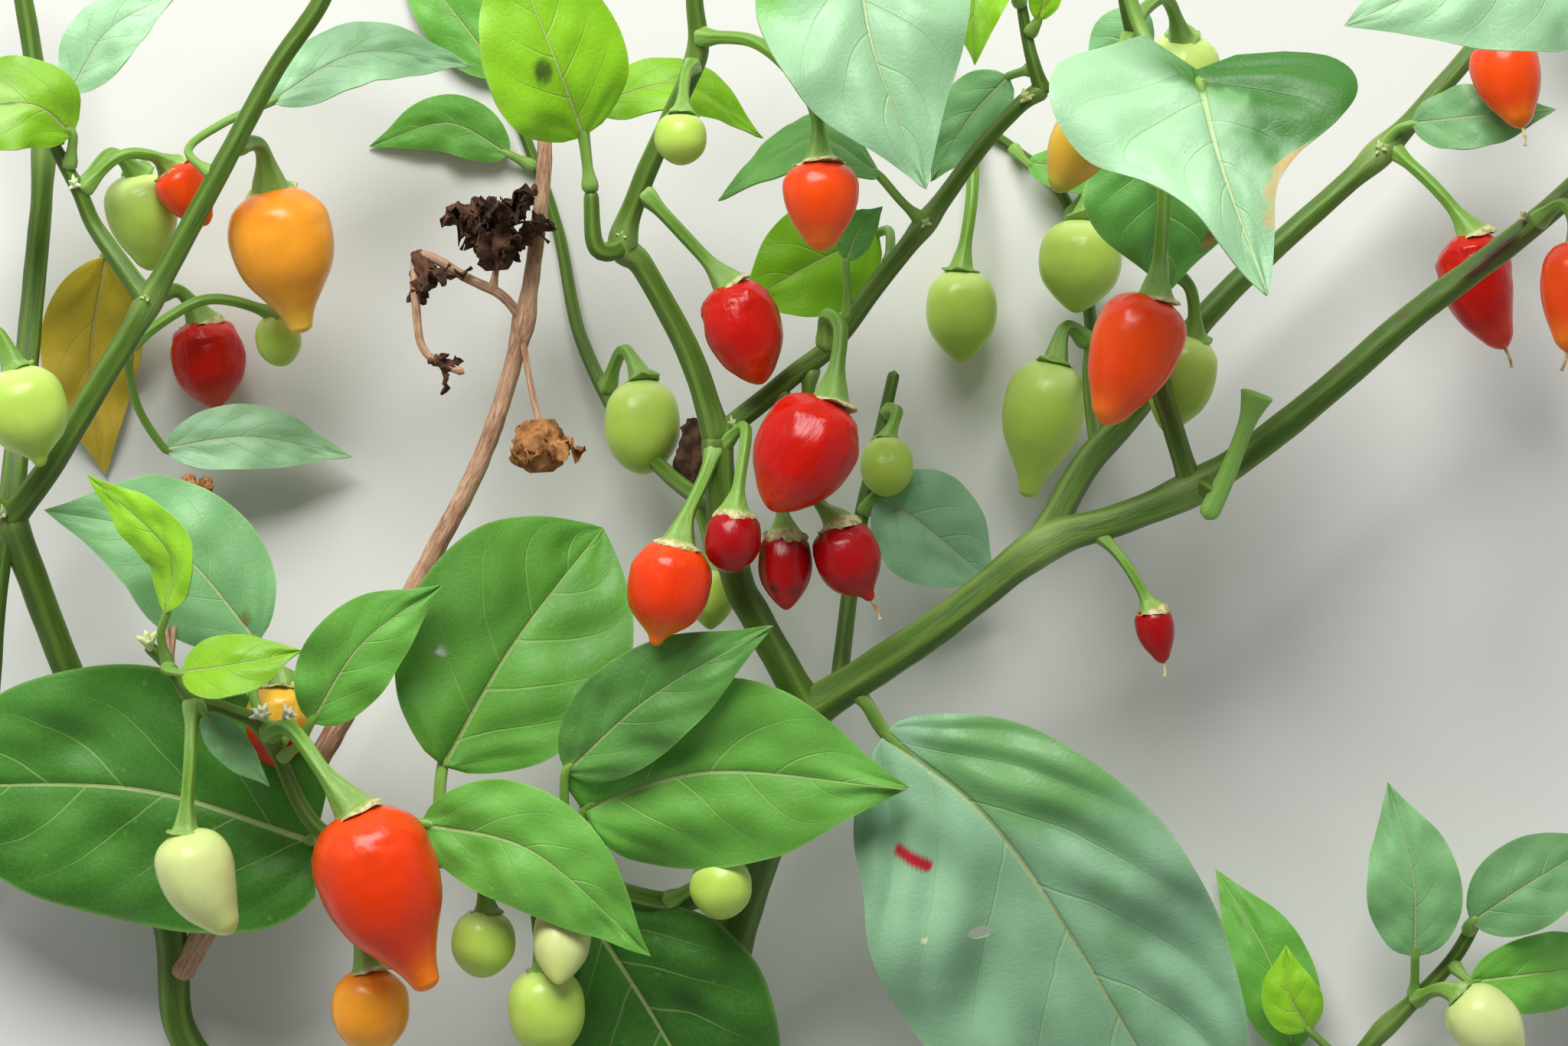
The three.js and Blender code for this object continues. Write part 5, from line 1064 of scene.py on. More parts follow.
def add_petal(bm, root, way, out, length, width, seed, material):
    """A shrivelled petal: a small strip that curls away from its flower's middle"""
    curl = 0.55 + 0.5 * math.sin(seed)
    course = Course([root, root + way * length * 0.5 + out * length * 0.28,
                     root + way * length * (0.8 - 0.3 * curl) + out * length * curl])
    made = bmesh.ops.create_grid(bm, x_segments=8, y_segments=16, size=1)
    for vert in made["verts"]:
        across, share = vert.co.x, (vert.co.y + 1) / 2
        along = course.along(share * course.total)
        side = along.cross(out + Vector((0.01, 0.02, 0.03))).normalized()
        half = width / 2 * math.sin(math.pi * (0.14 + 0.8 * share)) ** 0.8
        spot = course.at(share * course.total)
        crumple = noise.noise(spot * 0.9 + Vector((seed, 1.5 * across, 0)))
        fine = noise.noise(spot * 2.6 + Vector((seed, 3 * across, 0)))
        lift = (1.1 * crumple + 0.35 * fine + 0.8 * abs(across)) * half
        vert.co = spot + side * across * half * (0.8 + 0.5 * fine) + side.cross(along) * lift
    faces = list({face for vert in made["verts"] for face in vert.link_faces})
    thicken(bm, faces, PETAL_THICKNESS, bm.verts.layers.float["under"], material)


def add_thread(bm, stops, material):
    """A thin dry thread that ends in a small knob"""
    course = Course(stops)
    profile = [(course.total * k / 12, THREAD_RADIUS * (2.2 if k == 12 else 1)) for k in range(13)]
    round_body(bm, course, profile, 7, material=material)


def add_dry_stalk(bm, row, neck):
    """The stalk of what dried on a twig, a little thicker at its foot"""
    course = Course(stalk_stops(row, neck))
    profile = []
    for ring in range(25):
        length = course.total * ring / 24
        profile.append((length, DRY_STALK_RADIUS + 0.25 * math.exp(-(length / 1.5) ** 2)))
    round_body(bm, course, profile, 10, material=BARK)


def add_dried_flower(bm, row):
    """A dried flower or calyx: a crumpled middle with shrivelled petals all round and a few threads"""
    neck, tip = place(*row["neck"]), place(*row["tip"])
    if "stalk" in row:
        add_dry_stalk(bm, row, neck)
    petals, size, material = row["petals"], row["width"], row["tone"]
    pale = material == PALE
    way = (tip - neck).normalized()
    first = way.orthogonal().normalized()
    second = way.cross(first)
    reach = (tip - neck).length
    core = 0.46 if pale else 0.27
    course = Course([neck - way * 0.8, neck + way * reach * (0.85 if pale else 0.6)])
    count = 16
    swell = [math.sin(math.pi * (k + 0.6) / (count + 1.2)) ** 0.7 for k in range(count + 1)]
    profile = [(course.total * k / count, size * (0.1 + core * swell[k])) for k in range(count + 1)]

    def shift(ring, angle):
        spot = Vector((math.cos(angle) * 1.6, math.sin(angle) * 1.6, ring * 0.35 + size))
        pleats = math.cos(7 * angle + ring * 0.2)
        return size * (0.2 * noise.noise(spot) + 0.1 * noise.noise(spot * 2.7) + 0.03 * pleats), 0

    round_body(bm, course, profile, 28, shift, material=material)
    for petal in range(petals):
        angle = NEXT_TURN * petal
        level = petal * 0.37 % 1
        out = first * math.cos(angle) + second * math.sin(angle)
        heading = (way * (1 - 0.9 * level * math.sin(petal * 1.7)) + out * 0.5).normalized()
        root = neck + way * reach * (0.1 + 0.5 * level) + out * size * core * 0.6
        length = reach * (0.3 if pale else 0.36) * (1 + 0.5 * math.sin(petal * 1.9))
        add_petal(bm, root, heading, out, length, size * (0.42 + 0.12 * (petal % 3)), petal * 1.3, material)
    for thread in range(0 if pale else petals // 4):
        out = first * math.cos(2.1 * thread + 1) + second * math.sin(2.1 * thread + 1)
        root = neck + way * reach * 0.35
        drop = 0.15 - 0.2 * (thread % 2)
        stops = [root, root + (out * 0.35 + way * 0.1) * reach, root + (out * 0.6 - way * drop) * reach]
        add_thread(bm, stops, material)


class Wires:
    """Adds shader nodes to a tree and joins them"""

    def __init__(self, tree):
        self.tree = tree

    def add(self, kind, values=None, **settings):
        node = self.tree.nodes.new("ShaderNode" + kind)
        for name, value in settings.items():
            setattr(node, name, value)
        for socket, value in (values or {}).items():
            self.feed(node.inputs[socket], value)
        return node

    def feed(self, socket, value):
        if isinstance(value, bpy.types.NodeSocket):
            self.tree.links.new(value, socket)
        elif socket.type == "RGBA" and len(value) == 3:
            socket.default_value = (*value, 1)
        else:
            socket.default_value = value

    def attribute(self, name, output="Fac"):
        return self.add("Attribute", attribute_name=name).outputs[output]

    def maths(self, operation, first, second=0.0):
        return self.add("Math", {0: first, 1: second}, operation=operation).outputs[0]

    def times(self, first, second):
        return self.maths("MULTIPLY", first, second)

    def plus(self, first, second):
        return self.maths("ADD", first, second)

    def mix(self, amount, first, second, blend="MIX"):
        node = self.add("Mix", {0: amount, 6: first, 7: second}, data_type="RGBA", blend_type=blend)
        return node.outputs[2]

    def ramp(self, value, low, high, start=0.0, end=1.0):
        node = self.add("MapRange", {"Value": value, "From Min": low, "From Max": high,
                                     "To Min": start, "To Max": end}, interpolation_type="SMOOTHSTEP")
        return node.outputs[0]

    def noise(self, vector, scale, detail=2.0, rough=0.5):
        return self.add("TexNoise", {"Vector": vector, "Scale": scale, "Detail": detail,
                                     "Roughness": rough}).outputs["Fac"]

    def voronoi(self, vector, scale, feature):
        return self.add("TexVoronoi", {"Vector": vector, "Scale": scale}, feature=feature)

    def object_place(self):
        return self.add("TexCoord").outputs["Object"]

    def stretched(self, vector, scale):
        return self.add("VectorMath", {0: vector, 1: scale}, operation="MULTIPLY").outputs[0]

    def with_stains_and_light(self, tone):
        """The tone with the piece's marks over it: stains, and on some pieces painted light and shade"""
        stain = self.add("Attribute", attribute_name="stain").outputs
        return self.mix(stain["Alpha"], tone, stain["Color"])

    def dress(self, shader, tone, height, depth, strength):
        """Gives a shader its tone and its fine relief"""
        relief = self.add("Bump", {"Height": height, "Distance": depth, "Strength": strength})
        self.feed(shader.inputs["Base Color"], tone)
        self.feed(shader.inputs["Normal"], relief.outputs[0])


def new_group(name, inputs, outputs):
    """A shader node group's wires with its input and output nodes"""
    tree = bpy.data.node_groups.new(name, "ShaderNodeTree")
    for socket, kind in inputs:
        tree.interface.new_socket(name=socket, in_out="INPUT", socket_type="NodeSocket" + kind)
    for socket, kind in outputs:
        tree.interface.new_socket(name=socket, in_out="OUTPUT", socket_type="NodeSocket" + kind)
    return Wires(tree), tree.nodes.new("NodeGroupInput").outputs, tree.nodes.new("NodeGroupOutput").inputs


def new_material(name, roughness, coat=0.0, scatter=0.0, scatter_colour=(1, 1, 1), specular=0.5):
    """A material's wires and its shader, whose plain values are set here"""
    material = bpy.data.materials.new(name)
    material.use_nodes = True
    shader = material.node_tree.nodes["Principled BSDF"]
    shader.inputs["Roughness"].default_value = roughness
    shader.inputs["Coat Weight"].default_value = coat
    shader.inputs["Coat Roughness"].default_value = 0.2
    shader.inputs["Specular IOR Level"].default_value = specular
    shader.inputs["Subsurface Weight"].default_value = scatter
    shader.inputs["Subsurface Radius"].default_value = scatter_colour
    shader.inputs["Subsurface Scale"].default_value = 0.0016
    return material, Wires(material.node_tree), shader


def veins_group():
    """Masks for the midrib, the side veins that arch from it, the net between them and the margin"""
    wires, given, result = new_group(
        "Leaf veins", [("Blade", "Vector"), ("Rib", "Float"), ("Pairs", "Float")],
        [(mask, "Float") for mask in ("Midrib", "Vein", "Net", "Margin", "Height")])
    split = wires.add("SeparateXYZ", {0: given["Blade"]}).outputs
    across, share, half = split[0], split[1], split[2]
    off = wires.maths("ABSOLUTE", across)
    arch = wires.plus(wires.times(off, VEIN_ARCH), VEIN_START)
    arch = wires.times(off, arch)
    phase = wires.times(wires.maths("SUBTRACT", share, arch), given["Pairs"])
    shifted = wires.times(wires.maths("GREATER_THAN", across, 0.0), 0.5)
    phase = wires.plus(phase, shifted)
    wobble = wires.noise(wires.object_place(), 160.0, 1.0)
    phase = wires.plus(phase, wires.times(wires.maths("SUBTRACT", wobble, 0.5), 0.12))
    distance = wires.maths("PINGPONG", phase, 0.5)
    half = wires.times(half, wires.maths("SUBTRACT", 1.3, off))
    vein = wires.ramp(wires.maths("DIVIDE", distance, half), 1.8, 0.4)
    vein = wires.times(vein, wires.ramp(off, 1.0, 0.3, 0.12, 1.0))
    taper = wires.maths("SUBTRACT", 1.2, share)
    midrib = wires.ramp(wires.maths("DIVIDE", given["Rib"], taper), 0.95, 0.4)
    net = wires.voronoi(wires.object_place(), 900.0, "DISTANCE_TO_EDGE").outputs["Distance"]
    net = wires.ramp(net, 0.14, 0.03)
    height = wires.plus(wires.times(vein, -0.45), wires.times(midrib, -0.8))
    height = wires.plus(height, wires.times(net, -0.08))
    wires.feed(result["Midrib"], midrib)
    wires.feed(result["Vein"], vein)
    wires.feed(result["Net"], net)
    wires.feed(result["Margin"], wires.ramp(off, 0.955, 0.995))
    wires.feed(result["Height"], height)
    return wires.tree


def mottle_group():
    """Two tones that drift over a surface, with fine specks"""
    wires, given, result = new_group(
        "Drifting tones",
        [("Place", "Vector"), ("Scale", "Float"), ("First", "Color"), ("Second", "Color")],
        [("Color", "Color"), ("Speck", "Float")])
    drift = wires.noise(given["Place"], given["Scale"], 3.0, 0.55)
    specks = wires.voronoi(given["Place"], wires.times(given["Scale"], 9.0), "F1").outputs
    chosen = wires.maths("GREATER_THAN", wires.add("SeparateColor", {0: specks["Color"]}).outputs[0], 0.9)
    speck = wires.times(wires.ramp(specks["Distance"], 0.3, 0.12), chosen)
    wires.feed(result["Color"], wires.mix(wires.ramp(drift, 0.35, 0.68), given["First"], given["Second"]))
    wires.feed(result["Speck"], speck)
    return wires.tree


def use_group(wires, tree, values):
    node = wires.tree.nodes.new("ShaderNodeGroup")
    node.node_tree = tree
    for socket, value in values.items():
        wires.feed(node.inputs[socket], value)
    return node.outputs


def drifting(wires, groups, scale, first, second):
    """Two tones that drift over a piece, and its specks"""
    return use_group(wires, groups["tones"], {
        "Place": wires.object_place(), "Scale": scale, "First": first, "Second": second})


def blended(first, second, amount):
    return tuple(a + (b - a) * amount for a, b in zip(first, second))


def leaf_material(look, groups, finish):
    """A leaf's skin in one tone, with paler veins, a darker drift, patches of painted sheen, specks,
    a margin paler with painted light through its thin edge, and a paler underside
    """
    tone = tuple(getattr(finish, look))
    roughness, vein_pull, deepen = LEAF_LOOKS[look][1:]
    material, wires, shader = new_material("leaf_" + look, roughness, scatter=0.18,
                                           scatter_colour=(0.5, 1.0, 0.15), specular=0.38)
    spot = wires.object_place()
    veins = use_group(wires, groups["veins"], {
        "Blade": wires.attribute("blade", "Vector"), "Rib": wires.attribute("rib"),
        "Pairs": wires.attribute("pairs")})
    darker = tuple(c * deepen for c in tone)
    tones = drifting(wires, groups, 75.0, tone, darker)
    vein_tone = blended(tone, tuple(finish.vein), vein_pull)
    # Painted sheen: soft patches where the tone turns paler, for the sky's sheen on the blade
    sheen_patches = wires.ramp(wires.noise(wires.stretched(spot, (1.0, 1.0, 0.5)), 48.0, 1.0), 0.48, 0.72)
    sheen_tone = tuple(min(c * 1.3 + 0.025, 1) for c in tone)
    sheened = wires.mix(wires.times(sheen_patches, 0.5), tones["Color"], sheen_tone)
    skin = wires.mix(wires.times(veins["Net"], 0.06), sheened, vein_tone)
    skin = wires.mix(wires.times(veins["Vein"], 0.45), skin, vein_tone)
    skin = wires.mix(wires.times(tones["Speck"], 0.2), skin, vein_tone)
    # Painted light: the thin margin turns paler, for light shining through it
    skin = wires.mix(wires.times(veins["Margin"], 0.3), skin, vein_tone)
    rib_tone = blended(vein_tone, finish.vein, 0.5)
    skin = wires.mix(wires.times(veins["Midrib"], 0.75), skin, rib_tone)
    bright = wires.ramp(wires.attribute("tint"), 0.0, 1.0, 0.8, 1.2)
    grey = wires.add("CombineColor", {0: bright, 1: bright, 2: bright}).outputs[0]
    skin = wires.mix(1.0, skin, grey, "MULTIPLY")
    below = blended(tone, tuple(finish.underside), 0.6)
    below = wires.mix(wires.times(veins["Vein"], 0.5), below, blended(below, (1, 1, 1), 0.15))
    skin = wires.mix(wires.attribute("under"), skin, below)
    fine = wires.noise(spot, 1500.0, 2.0)
    height = wires.plus(veins["Height"], wires.times(fine, 0.12))
    wires.dress(shader, wires.with_stains_and_light(skin), height, 0.0003, 0.6)
    rough = wires.ramp(wires.noise(spot, 220.0, 2.0), 0.3, 0.7, roughness - 0.06, roughness + 0.1)
    wires.feed(shader.inputs["Roughness"], rough)
    return material


def stem_material(name, tones, finish, roughness):
    """Green skin with lighter ridges along it that paint highlights, pale knots, brown streaks
    and a ragged calyx rim
    """
    green, deep, ridge, knot = tones
    material, wires, shader = new_material(name, roughness, scatter=0.08,
                                           scatter_colour=(0.5, 1.0, 0.2), specular=0.4)
    skin_place = wires.attribute("skin", "Vector")
    long_grain = wires.stretched(skin_place, (1.0, 1.0, 0.09))
    streaks = wires.noise(long_grain, 1.9, 4.0, 0.6)
    tone = wires.mix(wires.ramp(streaks, 0.3, 0.7), green, deep)
    # Painted highlights: the ridge crests take the lighter ridge tone
    crest_highlight = wires.maths("POWER", wires.attribute("ridge"), 3.0)
    tone = wires.mix(wires.times(crest_highlight, 0.55), tone, ridge)
    tone = wires.mix(wires.times(wires.attribute("knot"), 0.45), tone, knot)
    patches = wires.noise(wires.stretched(skin_place, (0.6, 0.6, 0.11)), 1.0, 5.0, 0.7)
    scars = wires.ramp(patches, 0.64, 0.74)
    tone = wires.mix(wires.times(scars, 0.45), tone, tuple(finish.scar))
    rim = wires.attribute("rim")
    speckle = wires.ramp(wires.noise(wires.object_place(), 1400.0, 3.0), 0.45, 0.62)
    rim_tone = wires.mix(speckle, tuple(finish.rim), tuple(finish.rim_edge))
    tone = wires.mix(wires.ramp(rim, 0.0, 0.7), tone, rim_tone)
    grain = wires.noise(long_grain, 5.0, 3.0)
    height = wires.plus(wires.times(streaks, 0.7), wires.times(grain, 0.4))
    wires.dress(shader, wires.with_stains_and_light(tone), height, 0.0003, 0.7)
    return material


def dead_material(groups, finish):
    """Dry brown bark, split along its length, with paler worn ridges"""
    material, wires, shader = new_material("dead_bark", 0.85, specular=0.25)
    long_grain = wires.stretched(wires.attribute("skin", "Vector"), (1.0, 1.0, 0.12))
    fibres = wires.noise(long_grain, 2.4, 6.0, 0.65)
    tones = drifting(wires, groups, 130.0, tuple(finish.dead), tuple(finish.dead_dark))
    tone = wires.mix(wires.ramp(fibres, 0.42, 0.7), tones["Color"], tuple(finish.dead_pale))
    cracks = wires.ramp(wires.noise(long_grain, 4.5, 3.0), 0.42, 0.34)
    tone = wires.mix(wires.times(cracks, 0.4), tone, tuple(finish.dead_dark))
    height = wires.maths("SUBTRACT", fibres, wires.times(cracks, 0.6))
    wires.dress(shader, tone, height, 0.0003, 0.7)
    return material


def dried_material(name, groups, first, second):
    """Crumpled dried petals and calyx"""
    material, wires, shader = new_material(name, 0.9, specular=0.2)
    tones = drifting(wires, groups, 420.0, first, second)
    height = wires.noise(wires.object_place(), 900.0, 4.0)
    wires.dress(shader, tones["Color"], height, 0.0004, 0.9)
    return material


def pod_material(look, groups, finish):
    """Waxy pod skin from its shoulder's tone to its tip's, with a faint drift and shallow wrinkles"""
    shoulder, belly, tip = (tuple(getattr(finish, f"{look}_{part}")) for part in POD_PARTS)
    roughness, wrinkle = POD_LOOKS[look][3:5]
    material, wires, shader = new_material("pod_" + look, roughness, coat=0.24, scatter=0.25,
                                           scatter_colour=(1.0, 0.35, 0.15), specular=0.2)
    shader.inputs["Subsurface Scale"].default_value = 0.0022
    spot = wires.object_place()
    share = wires.attribute("along")
    drift = wires.noise(spot, 130.0, 3.0)
    bent = wires.plus(share, wires.times(wires.maths("SUBTRACT", drift, 0.5), 0.35))
    tone = wires.mix(wires.ramp(bent, 0.02, 0.34), shoulder, belly)
    tone = wires.mix(wires.ramp(bent, 0.68, 0.98), tone, tip)
    deeper = wires.mix(0.25, tone, blended(belly, (0, 0, 0), 0.35))
    tones = drifting(wires, groups, 210.0, tone, deeper)
    tone = wires.mix(wires.times(tones["Speck"], 0.12), tones["Color"], shoulder)
    grain = wires.noise(wires.stretched(wires.attribute("skin", "Vector"), (1.0, 1.0, 0.3)), 0.9, 3.0, 0.55)
    pores = wires.noise(spot, 1600.0, 2.0)
    height = wires.plus(wires.times(grain, wrinkle), wires.times(pores, 0.06))
    wires.dress(shader, wires.with_stains_and_light(tone), height, 0.0005, 0.6)
    return material


# Leaf looks: the blade's tone, its roughness, how far its veins pull to the vein tone, and its darker
# drift.
# Some are lit and shaded copies of one leaf: shade carries painted shade, lit a painted backlit glow,
# and sheen and the palest look a painted pale sheen.
LEAF_LOOKS = {
    "deep": ("#3A7618", 0.56, 0.45, 0.72),
    "shade": ("#62A046", 0.5, 0.45, 0.72),
    "fresh": ("#66A83C", 0.53, 0.5, 0.8),
    # A bluish green that is partly painted sheen
    "cool": ("#7CB074", 0.5, 0.4, 0.82),
    "sheen": ("#96C49A", 0.44, 0.4, 0.78),
    # The palest painted sheen
    "mint": ("#94BE92", 0.44, 0.25, 0.88),
    "lit": ("#8CC41C", 0.48, 0.4, 0.85),
    "yellow": ("#D8B838", 0.6, 0.35, 0.85),
}

POD_PARTS = ("shoulder", "belly", "tip")

# Pod looks: tones of shoulder, belly and tip, roughness, depth of the wrinkles, and strength of the dimples
POD_LOOKS = {
    # The scarlet tip's bright orange is partly the pod's own colour and partly painted light through the
    # thin flesh
    "scarlet": ("#EA4A12", "#EA3C08", "#F48010", 0.3, 0.5, 1.2),
    "red": ("#CC1C0A", "#C41404", "#DC3A0C", 0.29, 0.9, 1.8),
    "dark": ("#9E0A0E", "#A60A0E", "#B01410", 0.3, 0.7, 1.0),
    # The flame belly is partly the pods' own orange-red and partly painted light lifting the shadow on one
    # pod
    "flame": ("#EC3C10", "#F04C0C", "#F88018", 0.32, 0.25, 0.6),
    "orange": ("#F48A20", "#F8A42C", "#ECBE40", 0.32, 0.25, 0.7),
    "turning": ("#E8981E", "#DDB038", "#A8B03A", 0.34, 0.2, 0.5),
    "green": ("#C8DE80", "#BAD85C", "#ACCC4C", 0.34, 0.2, 0.35),
    "pale": ("#CCDC88", "#D6E094", "#CEDC80", 0.34, 0.2, 0.35),
}
POD_SLOTS = {"scarlet": "pod_red", "red": "pod_red", "flame": "pod_red", "dark": "pod_dark_red",
             "orange": "pod_orange", "turning": "pod_orange", "green": "pod_green", "pale": "pod_green"}


class PEPPER_StemSettings(bpy.types.PropertyGroup):
    """Sizes and colours of the stems and stalks"""

    ridge_depth: FloatProperty(name="Ridge depth", description="How far the ridges stand out, as a share",
                               subtype="FACTOR", min=0, max=0.3, default=0.055)
    green: colour("#537420", "Skin of the older stems")
    green_deep: colour("#426117", "Darker streaks on the stems")
    # Painted highlights along the stems' ridges
    ridge: colour("#83A042", "Lighter ridges along the stems")
    knot: colour("#9CB866", "Swollen nodes")
    young: colour("#749E34", "Skin of pedicels and petioles")
    young_deep: colour("#608C28", "Darker streaks on pedicels and petioles")
    # Painted highlights along the ridges of pedicels and petioles
    young_ridge: colour("#93BC62", "Ridges of pedicels and petioles")
    young_knot: colour("#A4C66E", "Feet and flares of pedicels and petioles")
    scar: colour("#6B5138", "Brown scars and streaks")
    rim: colour("#D4D098", "Calyx rim")
    rim_edge: colour("#B0A264", "Dry edge of the calyx rim")
    dead: colour("#C09676", "Dead wood")
    dead_dark: colour("#9C6E54", "Cracks in the dead wood")
    dead_pale: colour("#D4B496", "Worn ridges of the dead wood")
    dried_dark: colour("#3A2A24", "Dried flower")
    dried_dark_edge: colour("#6A4A38", "Edges of the dried flower")
    dried_pale: colour("#B98450", "Dried calyx")
    dried_pale_edge: colour("#7A4E2E", "Folds of the dried calyx")
    style: colour("#DCC48C", "Dried styles on the pods")
    style_tip: colour("#8A6A44", "Ends of the dried styles")


class PEPPER_LeafSettings(bpy.types.PropertyGroup):
    """Sizes and colours of the leaves"""

    thickness: FloatProperty(name="Thickness", description="Thickness of a blade", unit="LENGTH",
                             min=0.0001, max=0.001, default=0.0003)
    pucker: FloatProperty(name="Pucker", description="How far a large blade bulges between its veins",
                          unit="LENGTH", min=0, max=0.003, default=0.00045)
    uneven: FloatProperty(name="Unevenness", description="How far a large blade dips and rises as a whole",
                          unit="LENGTH", min=0, max=0.006, default=0.0022)
    fold: FloatProperty(name="Fold", description="How far the halves rise from the midrib, as a share",
                        subtype="FACTOR", min=-1, max=1, default=0.16)
    cup: FloatProperty(name="Droop", description="How far the margins droop again, as a share",
                       subtype="FACTOR", min=-1, max=1, default=0.14)
    wave: FloatProperty(name="Margin wave", description="Height of the waves along the margin, as a share",
                        subtype="FACTOR", min=0, max=0.5, default=0.05)
    vein: colour("#C4D68A", "Veins")
    underside: colour("#9CC08C", "Underside of the leaves")


for look_name, (code, *_) in LEAF_LOOKS.items():
    PEPPER_LeafSettings.__annotations__[look_name] = colour(code, f"Blades of the {look_name} leaves")


class PEPPER_PodSettings(bpy.types.PropertyGroup):
    """Sizes and colours of the pods"""

    dimple: FloatProperty(name="Dimples", description="How far the skin dips and rises near the shoulder",
                          unit="LENGTH", min=0, max=0.002, default=0.0003)
    calyx: FloatProperty(name="Calyx spread", description="Scale of the calyx plates", min=0.5, max=1.5,
                         default=1.0)


for look_name, values in POD_LOOKS.items():
    for part, code in zip(POD_PARTS, values):
        words = f"{part.capitalize()} of the {look_name} pods"
        PEPPER_PodSettings.__annotations__[f"{look_name}_{part}"] = colour(code, words)


class PEPPER_StageSettings(bpy.types.PropertyGroup):
    """Floor, light and camera"""

    floor: colour("#E2E1DC", "Floor")
    key: FloatProperty(name="Key light", description="Power of the large soft light", unit="POWER",
                       min=0, max=100, default=8.8)
    fill: FloatProperty(name="Sky", description="Strength of the even light from all round", min=0, max=4,
                        default=0.5)
    lens: FloatProperty(name="Lens", description="Focal length of the camera", unit="CAMERA",
                        min=20, max=300, default=108.0)


SHARED = {}


def shared(name, make, *values):
    """A node group or material that is made once"""
    if name not in SHARED:
        SHARED[name] = make(*values)
    return SHARED[name]


def groups():
    return {"veins": shared("veins", veins_group), "tones": shared("tones", mottle_group)}


def stem_skin(name, finish, settings, roughness):
    tones = [tuple(getattr(finish, setting)) for setting in settings]
    return shared(name, stem_material, name, tones, finish, roughness)


def green_skin(finish):
    return stem_skin("green_skin", finish, ("green", "green_deep", "ridge", "knot"), 0.5)


def young_skin(finish):
    settings = ("young", "young_deep", "young_ridge", "young_knot")
    return stem_skin("young_skin", finish, settings, 0.42)


def dried_skin(name, finish, first, second):
    tones = tuple(getattr(finish, first)), tuple(getattr(finish, second))
    return shared(name, dried_material, name, groups(), *tones)


def leaf_skin(look, finish):
    return shared("leaf_" + look, leaf_material, look, groups(), finish)


def pod_skin(look, finish):
    return shared("pod_" + look, pod_material, look, groups(), finish)


def by_node(rows):
    nodes = {}
    for row in rows:
        nodes.setdefault(row.get("node") or row["name"], []).append(row)
    return nodes


class PEPPER_OT_limbs(bpy.types.Operator):
    """Grow the stems, boughs and twigs with their ridges and swollen nodes"""

    bl_idname = "pepper.limbs"
    bl_label = "Stems and boughs"

    def execute(self, context):
        finish = context.scene.pepper_stems
        green = [limb for limb in LIMBS if limb.get("material") != "dead"]
        for node, limbs in by_node(green).items():
            bm = new_bmesh()
            for limb in limbs:
                sides = 22 if limb["radii"][0] > THIN_LIMB_RADIUS else 16
                add_limb(bm, limb, finish.ridge_depth, sides)
            finish_piece(f"{node}_skin", bm, [green_skin(finish)], "green_stem", [node])
        return {"FINISHED"}


class PEPPER_OT_dead_twig(bpy.types.Operator):
    """Grow the dead twig with its dried flowers, and what dried on other twigs"""

    bl_idname = "pepper.dead_twig"
    bl_label = "Dead twig"

    def execute(self, context):
        finish = context.scene.pepper_stems
        bark = shared("dead_bark", dead_material, groups(), finish)
        dark = dried_skin("dried_dark", finish, "dried_dark", "dried_dark_edge")
        pale = dried_skin("dried_pale", finish, "dried_pale", "dried_pale_edge")
        bm = new_bmesh()
        for limb in LIMBS:
            if limb.get("material") == "dead":
                add_limb(bm, limb, finish.ridge_depth * 1.6, 18)
        finish_piece("dead_twig_bark", bm, [bark], "dead_wood", ["dead_twig"])
        bm = grown(add_dried_flower, DRIED)
        nodes = ["back_left_shoot", "dead_twig", "lower_left_twig"]
        finish_piece("dried_flowers", bm, [dark, pale, bark], "dead_wood", nodes)
        return {"FINISHED"}


class PEPPER_OT_large_leaves(bpy.types.Operator):
    """Grow each large leaf as a piece of its own"""

    bl_idname = "pepper.large_leaves"
    bl_label = "Large leaves"

    def execute(self, context):
        finish = context.scene.pepper_leaves
        stalk_skin = young_skin(context.scene.pepper_stems)
        for row in LEAVES:
            if "node" in row:
                continue
            bm = new_bmesh()
            add_blade(bm, row, finish, 0)
            add_petiole(bm, row, 1)
            skins = [leaf_skin(row["look"], finish), stalk_skin]
            finish_piece(f"{row['name']}_blade", bm, skins, "foliage", [row["name"]])
        return {"FINISHED"}


class PEPPER_OT_small_leaves(bpy.types.Operator):
    """Grow the small leaves of the leafy twigs as one piece"""

    bl_idname = "pepper.small_leaves"
    bl_label = "Small leaves"

    def execute(self, context):
        finish = context.scene.pepper_leaves
        looks = list(LEAF_LOOKS)
        skins = [leaf_skin(look, finish) for look in looks]
        rows = [row for row in LEAVES if "node" in row]

        def make(bm, row):
            add_blade(bm, row, finish, looks.index(row["look"]))
            add_petiole(bm, row, len(looks))

        bm = grown(make, rows)
        nodes = sorted(by_node(rows))
        finish_piece("small_leaves", bm, [*skins, young_skin(context.scene.pepper_stems)], "foliage", nodes)
        return {"FINISHED"}


class PEPPER_OT_large_pods(bpy.types.Operator):
    """Grow each large pod's flesh, with its dried style, as a piece of its own"""

    bl_idname = "pepper.large_pods"
    bl_label = "Large pods"

    def execute(self, context):
        finish = context.scene.pepper_pods
        dry = dried_skin("dried_style", context.scene.pepper_stems, "style", "style_tip")
        for row in PODS:
            if "node" in row:
                continue
            bm = new_bmesh()
            add_flesh(bm, row, finish, 0)
            if "style" in row:
                add_style(bm, row, 1)
            skins = [pod_skin(row["look"], finish), dry]
            slot = row.get("slot", POD_SLOTS[row["look"]])
            finish_piece(f"{row['name']}_flesh", bm, skins, slot, [row["name"]])
        return {"FINISHED"}


